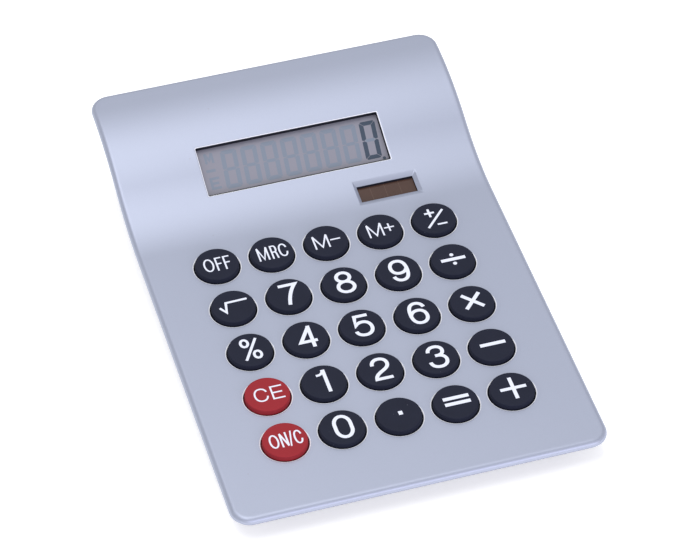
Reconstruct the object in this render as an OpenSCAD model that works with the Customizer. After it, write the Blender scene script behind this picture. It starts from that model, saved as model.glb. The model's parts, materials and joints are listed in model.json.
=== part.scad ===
// Desk calculator with a curved display end, built as separate pieces in millimetres.
// The deck is the keypad's plane: y runs from the front edge to the rear, w stands square to it.

/* [Case] */
// Width of the case
case_w = 131.4; // [128:0.2:140]
// Length of the case along the deck
case_l = 201; // [200:1:206]
// Radius of the four corners, seen square to the deck
corner_r = 7; // [5:0.5:7]
// Thickness of the top case's skin
skin_t = 2; // [1.8:0.1:2.2]
// Thickness of the bottom case's rim, under the parting line
rim_t = 1.6; // [1.4:0.1:1.8]
// Thickness of the bottom case's walls and floor
wall_t = 1.8; // [1.6:0.1:2]
// How far the tray under the rim stands in from the edge
tray_inset = 6.5; // [6:0.5:8]
// Height of the deck's front edge above the desk
front_h = 10.5; // [10.5:0.5:13]
// Angle between the deck and the desk
tilt = 3; // [2.5:0.5:4]

/* [Rise of the display end] */
// Where the deck starts to curve up, from the front edge
rise_start = 128.5; // [127:0.5:128.5]
// Radius of the hollow curve
hollow_r = 74; // [72:1:76]
// Radius of the crowned curve behind it
crown_r = 86; // [84:1:88]
// Angle to the deck where the two curves meet
rise_angle = 23.97; // [22:0.01:24]

/* [Keys] */
// Distance between key columns
key_px = 20; // [20:0.1:20.5]
// Distance between key rows
key_py = 21.7; // [21.5:0.1:22]
// Front row of keys, from the front edge
first_row = 29.8; // [29:0.1:31]
// Radius of a key's cap
key_r = 7.8; // [7.4:0.1:7.9]
// Gap between a cap and its hole
key_gap = 0.35; // [0.3:0.05:0.4]
// Height of a cap above the deck
key_h = 1.8; // [1.5:0.1:2]
// How far a key goes down
key_travel = 1; // [0.6:0.1:1]

/* [Display] */
// Width of the display window
lcd_win_w = 68.2; // [64:0.2:70]
// Length of the display window, along the slope
lcd_win_l = 19.8; // [18:0.2:20]
// Angle of the display to the deck
lcd_angle = 21; // [20:0.5:22]

/* [Solar cell] */
// Centre of the solar window, from the case's middle
solar_x = 29.2; // [24:0.1:30]
// Centre of the solar window, from the front edge
solar_y = 137.6; // [137:0.1:138.2]
// Width of the solar window
solar_w = 21; // [19:0.5:22]
// Length of the solar window
solar_l = 7.9; // [7:0.1:8]

/* [Battery] */
// Diameter of the cell
cell_d = 10.5; // [10:0.1:10.5]
// Length of the cell with its cap
cell_l = 44.5; // [44:0.1:44.5]

/* [Feet] */
// Diameter of a foot
foot_d = 10; // [8:0.5:11]
// Height that a foot stands out of the floor
foot_h = 1; // [0.8:0.1:1.2]

/* [Hidden] */
$fn = 96;

// ---- deck curve: a flat keypad, a hollow arc and a crowned arc that meet at the steepest point
rise_mid = rise_start + hollow_r * sin(rise_angle);
rise_end = rise_mid + crown_r * sin(rise_angle);
rise_h = (hollow_r + crown_r) * (1 - cos(rise_angle));
deep = 60;

// Height of the deck's surface over the keypad plane at y
function deck_w(y) =
    y < rise_start ? 0
    : y < rise_mid ? hollow_r - sqrt(hollow_r * hollow_r - pow(y - rise_start, 2))
    : y < rise_end ? rise_h - crown_r + sqrt(crown_r * crown_r - pow(rise_end - y, 2))
    : rise_h;
// Slope of the deck's surface at y, in degrees
function deck_slope(y) =
    y < rise_start ? 0
    : y < rise_mid ? asin((y - rise_start) / hollow_r)
    : y < rise_end ? asin((rise_end - y) / crown_r)
    : 0;

// ---- depths below the deck, square to it
flange_top = skin_t + 0.1;
flange_t = 0.8;
stem_end = 3.4;
mat_top = 5.2;
pcb_top = 6;
pcb_t = 1.2;
pcb_bottom = pcb_top + pcb_t;
pill_top = 4.2;
pill_t = 0.6;
trace_t = 0.05;
joint_depth = 6;
seat_t = 1.5;

// ---- case
rim_step = 0.3;
tray_r = 8;
lip_t = 1.2;
lip_depth = 5;
fit_gap = 0.15;
floor_top = foot_h + wall_t;
half_w = case_w / 2;
wall_in = tray_inset + wall_t;

// The case's middle on the desk, between the skin's front edge and its rear edge
rear_reach = case_l * cos(tilt) - (rise_h - skin_t) * sin(tilt);
middle_y = rear_reach / 2;

// ---- keys: column, row, name
key_names = [
    ["key_on", "key_0", "key_point", "key_equals", "key_plus"],
    ["key_ce", "key_1", "key_2", "key_3", "key_minus"],
    ["key_percent", "key_4", "key_5", "key_6", "key_multiply"],
    ["key_root", "key_7", "key_8", "key_9", "key_divide"],
    ["key_off", "key_mrc", "key_memory_minus", "key_memory_plus", "key_sign"]
];
key_grid = [0:4];
key_flange_r = 9.2;
key_stem_r = 2.6;
key_edge_r = 0.5;
hole_chamfer = 0.25;
dome_foot_r = 6;
dome_top_r = 3.4;
dome_skin = 0.45;
pill_r = 2;
pad_r = 3.2;

// ---- board and mat outlines, along the deck
pcb_w = 98;
pcb_front = 17;
pcb_rear = 126;
mat_w = 96;
mat_rear = 124;

// ---- screws: column and row of the board's posts, x and y of the case's bosses
board_posts = [[-1.5, 0.5], [1.5, 0.5], [-0.5, 1.5], [0.5, 1.5], [-1.5, 3.5], [1.5, 3.5]];
post_r = 2.5;
board_screw_r = 0.8;
small_head_r = 1.8;
small_head_h = 1.1;
case_bosses = [for (y = [14, 100, 187], x = [-53.5, 53.5]) [x, y]];
boss_r = 3;
pillar_r = 3.5;
case_screw_r = 1.1;
screw_gap = 0.03;

// ---- display stack, in the display's own frame
lcd_y = rise_mid;
lcd_face = 2.45;
polariser_t = 0.2;
glass_t = 0.9;
lcd_glass_w = 70.5;
lcd_glass_l = 22;
lcd_ledge = 2.6;
frame_w = 78;
frame_l = 26;
frame_top = 2.7;
frame_bottom = 6.2;
lcd_tab_x = 43;
lcd_tab_r = 3;
lcd_tab_top = 4.2;
lcd_tab_bottom = 5.4;
ribbon_w = 30;
ribbon_t = 0.2;

// ---- solar cell
solar_cell_w = 24;
solar_cell_l = 9.6;
solar_cell_t = 1.1;
solar_cell_top = 2.05;
solar_pad_t = 0.8;
solar_bevel = [1.35, 1.5, 1];

// ---- battery bay, in the desk frame: y is measured from the deck's front edge
bay_y = 182.4;
bay_l = 13.2;
bay_w = 54.4;
bay_wall = 1.5;
bay_shell_w = 64;
cell_z = floor_top + 0.4 + cell_d / 2;
bay_top = cell_z + cell_d / 2 + 0.6;
contact_t = 0.4;
contact_x = bay_w / 2;
cover_w = 57.6;
cover_front = 172;
cover_rear = (case_l - tray_inset) / cos(tilt) + (front_h - foot_h) * tan(tilt) - 0.1;
rail_gap = 0.1;

foot_sink = 0.6;
foot_spots = [for (y = [27, 163], x = [-44, 44]) [x, y]];

// ---- internal wires, as points chosen along their routes on the deck: x, y, w
wire_r = 0.5;
solar_wires = [
    [[18.5, 138, -3.15], [18.5, 134, -5.2], [18.5, 129, -8.6],
        [18, 122, -10], [17.5, 117, -9], [17, 113, -7.75]],
    [[39.5, 138, -3.15], [39.5, 134, -5.2], [39, 129, -8.6],
        [37, 122, -10], [35, 117, -9], [34, 113, -7.75]]
];
battery_wires = [
    [[27.5, 182.5, -2.4], [33, 180.5, -2.2], [40, 170, -5], [41, 150, -9],
        [41, 130, -10.5], [40, 118, -9], [40, 112, -7.75]],
    [[-27.5, 182.5, -2.4], [-33, 180.5, -2.2], [-40, 170, -5], [-41, 150, -9],
        [-41, 130, -10.5], [-40, 118, -9], [-40, 112, -7.75]]
];

silver = [0.70, 0.72, 0.80];
navy = [0.15, 0.16, 0.21];
red = [0.62, 0.18, 0.22];

// ================= frames =================
// The deck frame's origin is the middle of the front edge, on the keypad plane.
module on_deck() {
    translate([0, -middle_y, front_h]) rotate([tilt, 0, 0]) children();
}
// The desk frame has the same front edge, with z = 0 on the desk.
module on_desk() {
    translate([0, -middle_y, 0]) children();
}
module at_keys() {
    for (row = key_grid, column = key_grid) at_key(column, row) children();
}
module at_key(column, row) {
    translate([(column - 2) * key_px, first_row + row * key_py, 0]) children();
}
module at_posts() {
    for (post = board_posts)
        translate([post[0] * key_px, first_row + post[1] * key_py, 0]) children();
}
module at_bosses() {
    for (spot = case_bosses) translate([spot[0], spot[1], deck_w(spot[1])]) children();
}

// ================= shapes that follow the deck =================
// Everything below the deck's curve at this depth, as a block as wide as the case
module below_deck(depth) {
    join_y = rise_start + (hollow_r + depth) * sin(rise_angle);
    join_w = hollow_r - (hollow_r + depth) * cos(rise_angle);
    translate([-half_w, 0, 0]) rotate([90, 0, 90]) linear_extrude(case_w) difference() {
        translate([0, -deep]) square([case_l, deep + rise_h - depth]);
        translate([-1, -depth]) square([rise_start + 1, deep]);
        translate([rise_start, hollow_r]) circle(hollow_r + depth, $fn = 360);
        difference() {
            translate([join_y, join_w]) square([rise_end - join_y, deep]);
            translate([rise_end, rise_h - crown_r]) circle(crown_r - depth, $fn = 360);
        }
    }
}
// A rectangle with round corners, set in from the case's outline
module plan(inset, r) {
    w = case_w - 2 * inset;
    l = case_l - 2 * inset;
    translate([-w / 2, inset]) round_rect(w, l, r);
}
module round_rect(w, l, r) {
    translate([r, 0]) square([w - 2 * r, l]);
    translate([0, r]) square([w, l - 2 * r]);
    for (x = [r, w - r], y = [r, l - r]) translate([x, y]) circle(r);
}
module post(r, low, high) {
    translate([0, 0, low]) cylinder(r = r, h = high - low);
}
// A slab centred on the origin, between two heights
module slab(w, l, low, high) {
    translate([-w / 2, -l / 2, low]) cube([w, l, high - low]);
}

// ================= screws =================
// Pan-head screw: its head's seat at z = 0, its shank upwards
module pan_screw(shank_r, shank_l, head_r, head_h) {
    difference() {
        union() {
            post(shank_r, 0, shank_l);
            post(head_r, -head_h, 0);
        }
        for (turn = [0, 90]) rotate([0, 0, turn])
            slab(head_r * 1.2, head_r * 0.26, -head_h - 1, -head_h * 0.4);
    }
}

// ================= case =================
module top_case() color(silver) on_deck() {
    difference() {
        union() {
            top_skin();
            top_lip();
            top_bosses();
            top_posts();
            lcd_posts();
            solar_ribs();
        }
        at_keys() key_hole();
        at_posts() post(board_screw_r + screw_gap, -pcb_top - 1, -skin_t);
        at_bosses() post(case_screw_r + screw_gap, -joint_depth - 1, -skin_t - 0.4);
        lcd_window();
        solar_window();
        lcd_post_holes();
    }
}
module top_skin() {
    intersection() {
        upright(0, corner_r);
        difference() {
            below_deck(0);
            below_deck(skin_t);
        }
    }
}
module key_hole() {
    hole_r = key_r + key_gap;
    post(hole_r, -skin_t - 1, 1);
    translate([0, 0, -hole_chamfer])
        cylinder(r1 = hole_r, r2 = hole_r + 2 * hole_chamfer, h = 2 * hole_chamfer);
}
// A rib under the skin that stands inside the tray's wall all round
module top_lip() {
    intersection() {
        difference() {
            below_deck(skin_t - 0.1);
            below_deck(lip_depth);
        }
        difference() {
            upright(wall_in + fit_gap, tray_r - wall_t - fit_gap);
            upright(wall_in + fit_gap + lip_t, tray_r - wall_t - fit_gap - lip_t);
        }
    }
}
module top_bosses() {
    intersection() {
        at_bosses() post(boss_r, -joint_depth, 0);
        below_deck(skin_t - 0.1);
    }
}
module top_posts() {
    at_posts() post(post_r, -pcb_top, -skin_t + 0.1);
}
module lcd_place() {
    translate([0, lcd_y, deck_w(lcd_y)]) rotate([lcd_angle, 0, 0]) children();
}
module lcd_window() {
    lcd_place() slab(lcd_win_w, lcd_win_l, -9, 5);
}
module lcd_posts() {
    intersection() {
        lcd_place() for (x = [-lcd_tab_x, lcd_tab_x]) translate([x, 0, 0]) post(lcd_tab_r, -lcd_tab_top, 0);
        below_deck(skin_t - 0.1);
    }
}
module lcd_post_holes() {
    lcd_place() for (x = [-lcd_tab_x, lcd_tab_x]) translate([x, 0, 0])
        post(board_screw_r + screw_gap, -5, -skin_t - 0.4);
}
module solar_place() {
    translate([solar_x, solar_y, deck_w(solar_y)]) rotate([deck_slope(solar_y), 0, 0]) children();
}
// The opening, with a shallow bevel on all four sides of its mouth
module solar_window() {
    solar_place() {
        slab(solar_w, solar_l, -4, 3);
        intersection() {
            rotate([90, 0, 0]) translate([0, 0, -20])
                linear_extrude(40) bevel_section(solar_w, solar_bevel[0]);
            rotate([90, 0, 90]) translate([0, 0, -20])
                linear_extrude(40) bevel_section(solar_l, solar_bevel[1]);
        }
    }
}
module bevel_section(opening, flare) {
    low = opening / 2;
    high = low + 2 * flare;
    depth = solar_bevel[2];
    polygon([[-low, -depth], [low, -depth], [high, depth], [-high, depth]]);
}
// Ribs under the skin that hold the solar cell at its ends
module solar_ribs() {
    rib_t = 1.2;
    intersection() {
        solar_place() for (side = [-1, 1])
            translate([side * (solar_cell_w + rib_t + 2 * fit_gap) / 2, 0, 0])
                slab(rib_t, solar_cell_l, -3.6, 0);
        below_deck(skin_t - 0.1);
    }
}

module bottom_case() color(silver) {
    difference() {
        union() {
            tray();
            pillars();
            battery_bay();
        }
        on_deck() at_bosses() {
            post(case_screw_r + 0.4, -joint_depth - seat_t - 1, -joint_depth + 1);
            post(boss_r - 0.2, -deep, -joint_depth - seat_t);
        }
        on_desk() {
            battery_opening();
            foot_recesses();
        }
    }
}
// A rim as wide as the case on an open tray with a level floor
module tray() {
    difference() {
        intersection() {
            on_deck() intersection() {
                below_deck(skin_t);
                union() {
                    upright(tray_inset, tray_r);
                    difference() {
                        upright(rim_step, corner_r);
                        below_deck(skin_t + rim_t);
                    }
                }
            }
            above_desk(foot_h);
        }
        intersection() {
            on_deck() upright(wall_in, tray_r - wall_t);
            above_desk(floor_top);
        }
    }
}
// The case's outline, set in, as a block that stands square to the deck
module upright(inset, r) {
    translate([0, 0, -deep]) linear_extrude(2 * deep) plan(inset, r);
}
module above_desk(z) {
    on_desk() translate([-case_w, -20, z]) cube([2 * case_w, case_l + 40, 2 * deep]);
}
module pillars() {
    intersection() {
        on_deck() at_bosses() post(pillar_r, -deep, -joint_depth);
        above_desk(foot_h);
    }
}
module battery_bay() {
    on_desk() translate([0, bay_y, 0]) difference() {
        slab(bay_shell_w, bay_l + 2 * bay_wall, floor_top - 0.1, bay_top + bay_wall);
        for (side = [-1, 1]) translate([side * (contact_x - contact_t / 2), 0, 0])
            slab(contact_t + 0.1, 6, bay_top - 1, bay_top + bay_wall + 1);
    }
}
module battery_opening() {
    translate([0, bay_y, 0]) slab(bay_w, bay_l, foot_h - 1, bay_top);
    side = cover_w / 2 + rail_gap;
    translate([-side, cover_front - rail_gap, foot_h - 1])
        cube([2 * side, case_l, wall_t + 1]);
    translate([-side - 1.2, cover_front - rail_gap, foot_h + 0.5])
        cube([2 * side + 2.4, case_l, 0.9]);
}
module foot_recesses() {
    for (spot = foot_spots) translate(spot) post(foot_d / 2 + 0.1, foot_h - 1, foot_h + foot_sink);
}

module battery_cover() color(silver) on_desk() {
    rail = [1.1, 0.6, 0.7];
    groove = [18, 0.7, 0.4];
    groove_pitch = 1.6;
    difference() {
        union() {
            translate([-cover_w / 2, cover_front, foot_h])
                cube([cover_w, cover_rear - cover_front, wall_t]);
            translate([-cover_w / 2 - rail[0], cover_front, foot_h + rail[1]])
                cube([cover_w + 2 * rail[0], cover_rear - cover_front - 2, rail[2]]);
        }
        for (i = [0:4]) translate([0, cover_rear - 5 - i * groove_pitch, foot_h])
            slab(groove[0], groove[1], -0.5, groove[2]);
    }
}

module feet() color([0.12, 0.12, 0.13]) on_desk() {
    for (spot = foot_spots) translate(spot) {
        post(foot_d / 2 - 0.4, 0, 0.5);
        post(foot_d / 2, 0.4, foot_h + foot_sink);
    }
}

module case_screws() color([0.65, 0.66, 0.68]) on_deck() {
    at_bosses() translate([0, 0, -joint_depth - seat_t]) pan_screw(case_screw_r, 5, 2.3, 1.6);
}

// ================= keypad =================
// A cap with a rounded edge, a flange that stops under the skin, and a stem that meets its dome
module key(column, row) {
    key_red = column == 0 && row < 2;
    color(key_red ? red : navy) on_deck() at_key(column, row) rotate_extrude() {
        translate([0, -flange_top]) square([key_r, flange_top + key_h - key_edge_r]);
        intersection() {
            square([key_r, key_h]);
            union() {
                square([key_r - key_edge_r, key_h]);
                translate([key_r - key_edge_r, key_h - key_edge_r]) circle(key_edge_r);
            }
        }
        translate([0, -flange_top - flange_t]) square([key_flange_r, flange_t]);
        translate([0, -stem_end]) square([key_stem_r, stem_end - flange_top]);
    }
}

module key_mat() color([0.75, 0.75, 0.72]) on_deck() {
    difference() {
        union() {
            translate([-mat_w / 2, pcb_front + 1, -pcb_top])
                linear_extrude(pcb_top - mat_top) round_rect(mat_w, mat_rear - pcb_front - 1, 3);
            at_keys() translate([0, 0, -mat_top - 0.1])
                cylinder(r1 = dome_foot_r, r2 = dome_top_r, h = mat_top + 0.1 - stem_end);
        }
        at_keys() {
            post(dome_foot_r - dome_skin, -pcb_top - 1, -mat_top);
            translate([0, 0, -mat_top])
                cylinder(r1 = dome_foot_r - dome_skin, r2 = dome_top_r, h = mat_top - pill_top);
        }
        at_posts() post(post_r + 0.4, -pcb_top - 1, 0);
    }
}
module contact_pills() color([0.08, 0.08, 0.08]) on_deck() {
    at_keys() post(pill_r, -pill_top - pill_t, -pill_top);
}

// ================= electronics =================
module circuit_board() color([0.10, 0.36, 0.20]) on_deck() {
    difference() {
        translate([-pcb_w / 2, pcb_front, -pcb_bottom])
            linear_extrude(pcb_t) round_rect(pcb_w, pcb_rear - pcb_front, 2);
        at_posts() post(board_screw_r + 0.3, -pcb_bottom - 1, 0);
    }
}
module contact_pads() color([0.82, 0.66, 0.25]) on_deck() {
    at_keys() for (side = [-1, 1]) intersection() {
        post(pad_r, -pcb_top, -pcb_top + trace_t);
        translate([side * (pad_r + 0.2), 0, 0]) slab(2 * pad_r, 4 * pad_r, -pcb_top, -mat_top);
    }
}
module board_screws() color([0.65, 0.66, 0.68]) on_deck() {
    at_posts() translate([0, 0, -pcb_bottom]) pan_screw(board_screw_r, 4.4, small_head_r, small_head_h);
}
// A cap of black resin over the chip
module chip() color([0.06, 0.06, 0.07]) on_deck() {
    blob_r = 7;
    blob_h = 1.8;
    ball_r = (blob_r * blob_r + blob_h * blob_h) / (2 * blob_h);
    translate([0, 84.05, -pcb_bottom]) intersection() {
        translate([0, 0, ball_r - blob_h]) sphere(ball_r);
        post(blob_r + 1, -blob_h - 1, 0);
    }
}
lead_r = 0.25;
module capacitor() color([0.15, 0.20, 0.40]) on_deck() {
    can_r = 2.5;
    translate([-18, 112, -pcb_bottom - can_r]) rotate([0, 90, 0]) post(can_r, 0, 8);
    for (side = [-1, 1]) translate([-11, 112 + side, -pcb_bottom - can_r]) {
        rotate([0, 90, 0]) post(lead_r, 0.9, 2 + lead_r);
        translate([2, 0, 0]) post(lead_r, -lead_r, can_r);
    }
}
module resistors() color([0.72, 0.62, 0.45]) on_deck() {
    for (x = [18, 22, 26]) translate([x, 84, -pcb_bottom]) {
        slab(1.25, 2, -0.6, 0);
    }
}
module diode() color([0.70, 0.32, 0.18]) on_deck() {
    body_r = 0.9;
    translate([22, 104, -pcb_bottom - body_r]) rotate([0, 90, 0]) {
        post(body_r, -2, 2);
        post(lead_r, -4, 4);
    }
    for (side = [-1, 1]) translate([22 + side * 3.75, 104, -pcb_bottom]) post(lead_r, -body_r, 0);
}

// ================= display =================
module lcd_sheet(w, l, shift, depth, t) {
    on_deck() lcd_place() translate([0, shift, 0]) slab(w, l, -depth - t, -depth);
}
lcd_front_depth = lcd_face + polariser_t;
lcd_rear_depth = lcd_front_depth + glass_t;
lcd_back_depth = lcd_rear_depth + glass_t;
module lcd_polariser() color([0.58, 0.57, 0.62]) {
    lcd_sheet(lcd_glass_w - 1, lcd_glass_l - lcd_ledge, lcd_ledge / 2, lcd_face, polariser_t);
}
module lcd_front_glass() color([0.75, 0.80, 0.82, 0.6]) {
    lcd_sheet(lcd_glass_w, lcd_glass_l, 0, lcd_front_depth, glass_t);
}
module lcd_rear_glass() color([0.70, 0.76, 0.78, 0.6]) {
    lcd_sheet(lcd_glass_w, lcd_glass_l - lcd_ledge, lcd_ledge / 2, lcd_rear_depth, glass_t);
}
module lcd_reflector() color([0.80, 0.80, 0.78]) {
    lcd_sheet(lcd_glass_w - 1, lcd_glass_l - lcd_ledge - 0.6, lcd_ledge / 2, lcd_back_depth, polariser_t);
}
// An open frame with a floor, which holds the glass up to the window
module lcd_frame() color([0.20, 0.20, 0.22]) on_deck() lcd_place() {
    difference() {
        union() {
            slab(frame_w, frame_l, -frame_bottom, -frame_top);
            for (side = [-1, 1]) translate([side * lcd_tab_x, 0, 0]) {
                post(lcd_tab_r, -lcd_tab_bottom, -lcd_tab_top);
                translate([-side * 2, 0, 0]) slab(4, 2 * lcd_tab_r, -lcd_tab_bottom, -lcd_tab_top);
            }
        }
        slab(lcd_glass_w + 0.4, lcd_glass_l + 0.4, -lcd_back_depth - polariser_t, 0);
        slab(lcd_glass_w - 14, lcd_glass_l - 8, -10, 0);
        translate([0, -frame_l / 2, 0]) slab(ribbon_w + 2, 12, -10, 0);
        for (x = [-lcd_tab_x, lcd_tab_x]) translate([x, 0, 0]) post(board_screw_r + 0.3, -10, 0);
    }
}
module lcd_screws() color([0.65, 0.66, 0.68]) on_deck() lcd_place() {
    for (x = [-lcd_tab_x, lcd_tab_x]) translate([x, 0, -lcd_tab_bottom])
        pan_screw(board_screw_r, 2.6, small_head_r, small_head_h);
}
// A flat cable that leaves the glass's ledge and bends down to the board
ribbon_glue = 0.03;
ribbon_start = [-lcd_glass_l / 2 + lcd_ledge / 2, -lcd_rear_depth - ribbon_glue - ribbon_t / 2];
ribbon_glass = [
    lcd_y + ribbon_start[0] * cos(lcd_angle) - ribbon_start[1] * sin(lcd_angle),
    deck_w(lcd_y) + ribbon_start[0] * sin(lcd_angle) + ribbon_start[1] * cos(lcd_angle)
];
ribbon_board = [pcb_rear - 1.8, -pcb_top + ribbon_t / 2];
ribbon_bend = 9;
ribbon_handles = [
    ribbon_glass,
    ribbon_glass - ribbon_bend * [cos(lcd_angle), sin(lcd_angle)],
    ribbon_board + [ribbon_bend, 0],
    ribbon_board
];
ribbon_steps = 20;
function bezier(p, s) =
    pow(1 - s, 3) * p[0] + 3 * s * pow(1 - s, 2) * p[1] + 3 * s * s * (1 - s) * p[2] + pow(s, 3) * p[3];
function bezier_way(p, s) =
    3 * pow(1 - s, 2) * (p[1] - p[0]) + 6 * s * (1 - s) * (p[2] - p[1]) + 3 * s * s * (p[3] - p[2]);
function beside(p, s, off) =
    let (way = bezier_way(p, s)) bezier(p, s) + off * [-way[1], way[0]] / norm(way);
module lcd_ribbon() color([0.78, 0.45, 0.20]) on_deck() {
    upper = [for (i = [0:ribbon_steps]) beside(ribbon_handles, i / ribbon_steps, ribbon_t / 2)];
    lower = [for (i = [ribbon_steps:-1:0]) beside(ribbon_handles, i / ribbon_steps, -ribbon_t / 2)];
    translate([-ribbon_w / 2, 0, 0]) rotate([90, 0, 90])
        linear_extrude(ribbon_w) polygon(concat(upper, lower));
}

// ================= solar cell =================
module solar_cell() color([0.32, 0.24, 0.22]) on_deck() solar_place() {
    slab(solar_cell_w, solar_cell_l, -solar_cell_top - solar_cell_t, -solar_cell_top);
}
module solar_pad() color([0.15, 0.15, 0.16]) on_deck() solar_place() {
    low = solar_cell_top + solar_cell_t;
    slab(solar_cell_w - 6, solar_cell_l, -low - solar_pad_t, -low);
}

// ================= wires =================
// A round wire through the points, with eight sides
wire_sides = 8;
function along(points, i) =
    let (last = len(points) - 1)
    let (way = points[min(i + 1, last)] - points[max(i - 1, 0)]) way / norm(way);
function across(way) =
    let (side = cross(way, [0, 0.2, 1])) side / norm(side);
function wire_ring(point, way, r) =
    let (side = across(way), up = cross(side, way))
    [for (k = [0:wire_sides - 1])
        let (turn = 360 * k / wire_sides) point + r * (cos(turn) * side + sin(turn) * up)];
// Points between the given ones, on a smooth curve through them
function smooth(points, s) =
    let (last = len(points) - 1, i = min(floor(s), last - 1), f = s - i)
    let (a = points[max(i - 1, 0)], b = points[i], c = points[i + 1], d = points[min(i + 2, last)])
    0.5 * (2 * b + (c - a) * f + (2 * a - 5 * b + 4 * c - d) * f * f + (3 * b - a - 3 * c + d) * pow(f, 3));
module wire(route, r, steps) {
    count = (len(route) - 1) * steps;
    points = [for (i = [0:count]) smooth(route, i / steps)];
    rings = [for (i = [0:count]) wire_ring(points[i], along(points, i), r)];
    n = wire_sides;
    polyhedron(
        points = [for (ring = rings, p = ring) p],
        faces = concat(
            [[for (k = [0:n - 1]) k]],
            [for (i = [0:count - 1], k = [0:n - 1])
                [i * n + k, (i + 1) * n + k, (i + 1) * n + (k + 1) % n]],
            [for (i = [0:count - 1], k = [0:n - 1])
                [i * n + k, (i + 1) * n + (k + 1) % n, i * n + (k + 1) % n]],
            [[for (k = [n - 1:-1:0]) count * n + k]]
        )
    );
}
module solar_wire_positive() color([0.75, 0.12, 0.10]) on_deck() wire(solar_wires[1], wire_r, 4);
module solar_wire_negative() color([0.08, 0.08, 0.09]) on_deck() wire(solar_wires[0], wire_r, 4);
module battery_wire_positive() color([0.75, 0.12, 0.10]) on_deck() wire(battery_wires[0], wire_r, 4);
module battery_wire_negative() color([0.08, 0.08, 0.09]) on_deck() wire(battery_wires[1], wire_r, 4);

// ================= battery =================
cell_end = contact_x - contact_t;
module battery_cell() color([0.20, 0.35, 0.55]) on_desk() translate([0, bay_y, cell_z]) {
    rotate([0, 90, 0]) {
        post(cell_d / 2, cell_end - cell_l, cell_end - 1);
        post(1.9, cell_end - 1.1, cell_end);
    }
}
module battery_spring() color([0.78, 0.78, 0.80]) on_desk() translate([0, bay_y, cell_z]) {
    turns = 4;
    per_turn = 14;
    coil = [for (i = [0:turns * per_turn])
        let (s = i / (turns * per_turn), turn = 360 * turns * s, r = 4 - 1.4 * s)
        [-contact_x + contact_t + 0.35 + s * (2 * contact_x - 2 * contact_t - cell_l - 0.7),
            r * cos(turn), r * sin(turn)]];
    wire(coil, 0.33, 1);
}
// A plate at the bay's end, with a tail through the roof that the wire is soldered to
module bay_contact(side) {
    on_desk() translate([side * (contact_x - contact_t / 2), bay_y, 0]) {
        slab(contact_t, 9, cell_z - 4.5, cell_z + 4.5);
        slab(contact_t, 5, cell_z, bay_top + bay_wall + 3);
    }
}
module battery_contact_positive() color([0.80, 0.80, 0.82]) bay_contact(1);
module battery_contact_negative() color([0.80, 0.80, 0.82]) bay_contact(-1);

// ================= assembly =================
top_case();
bottom_case();
battery_cover();
feet();
case_screws();
for (row = key_grid, column = key_grid)
    key(column, row);
key_mat();
contact_pills();
circuit_board();
contact_pads();
board_screws();
chip();
capacitor();
resistors();
diode();
lcd_polariser();
lcd_front_glass();
lcd_rear_glass();
lcd_reflector();
lcd_frame();
lcd_screws();
lcd_ribbon();
solar_cell();
solar_pad();
solar_wire_positive();
solar_wire_negative();
battery_cell();
battery_spring();
battery_contact_negative();
battery_contact_positive();
battery_wire_positive();
battery_wire_negative();
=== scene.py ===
# Desk calculator: the looks of every piece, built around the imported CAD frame.
# Shapes are in millimetres in the deck's own frame: x to the right, y from the front edge to the
# rear along the keypad, w square to the keypad. toWorld turns them into metres.
import math
import json
import bpy
import bmesh
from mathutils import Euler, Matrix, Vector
from mathutils.geometry import delaunay_2d_cdt


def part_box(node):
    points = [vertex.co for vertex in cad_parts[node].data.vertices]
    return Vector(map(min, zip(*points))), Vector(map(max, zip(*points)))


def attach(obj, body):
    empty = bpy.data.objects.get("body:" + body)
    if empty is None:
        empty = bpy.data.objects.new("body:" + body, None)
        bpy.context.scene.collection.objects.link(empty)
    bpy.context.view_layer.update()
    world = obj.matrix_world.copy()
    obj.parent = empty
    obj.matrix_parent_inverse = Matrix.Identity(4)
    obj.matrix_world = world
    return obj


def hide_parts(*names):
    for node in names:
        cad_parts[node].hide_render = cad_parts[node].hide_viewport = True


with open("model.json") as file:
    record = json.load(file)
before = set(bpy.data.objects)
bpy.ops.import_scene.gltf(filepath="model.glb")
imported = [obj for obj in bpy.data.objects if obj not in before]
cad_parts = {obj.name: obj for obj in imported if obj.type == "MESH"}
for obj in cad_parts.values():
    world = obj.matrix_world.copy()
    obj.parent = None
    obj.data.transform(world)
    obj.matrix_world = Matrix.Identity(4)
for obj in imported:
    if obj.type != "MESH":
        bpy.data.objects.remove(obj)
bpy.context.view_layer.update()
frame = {"nodes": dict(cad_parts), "record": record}
print("frame loaded")

mm = 0.001
caseBody = "case"
doorBody = "battery_door"

# ---------- the deck: a flat keypad, a hollow arc, then a crowned arc ----------
deck = {
    "width": 131.4,
    "length": 201.0,
    "corner": 7.0,
    "tilt": math.radians(3),
    "frontHeight": 10.5,
    "riseStart": 128.5,
    "hollowRadius": 74.0,
    "crownRadius": 86.0,
    "riseAngle": math.radians(23.97),
    "skin": 2.0,
    "rowStep": 1.3,
}
halfWidth = deck["width"] / 2
riseMid = deck["riseStart"] + deck["hollowRadius"] * math.sin(deck["riseAngle"])
riseEnd = riseMid + deck["crownRadius"] * math.sin(deck["riseAngle"])
riseHeight = (deck["hollowRadius"] + deck["crownRadius"]) * (1 - math.cos(deck["riseAngle"]))
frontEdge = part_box("top_case")[0].y / mm
rowCount = round((riseEnd - deck["riseStart"]) / deck["rowStep"])
rows = [deck["riseStart"] + (riseEnd - deck["riseStart"]) * i / rowCount for i in range(rowCount + 1)]


def toWorld(x, y, w):
    c, s = math.cos(deck["tilt"]), math.sin(deck["tilt"])
    return Vector((x, frontEdge + y * c - w * s, deck["frontHeight"] + y * s + w * c)) * mm


def toDeck(point):
    c, s = math.cos(deck["tilt"]), math.sin(deck["tilt"])
    y, z = point.y / mm - frontEdge, point.z / mm - deck["frontHeight"]
    return point.x / mm, y * c + z * s, z * c - y * s


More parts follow.
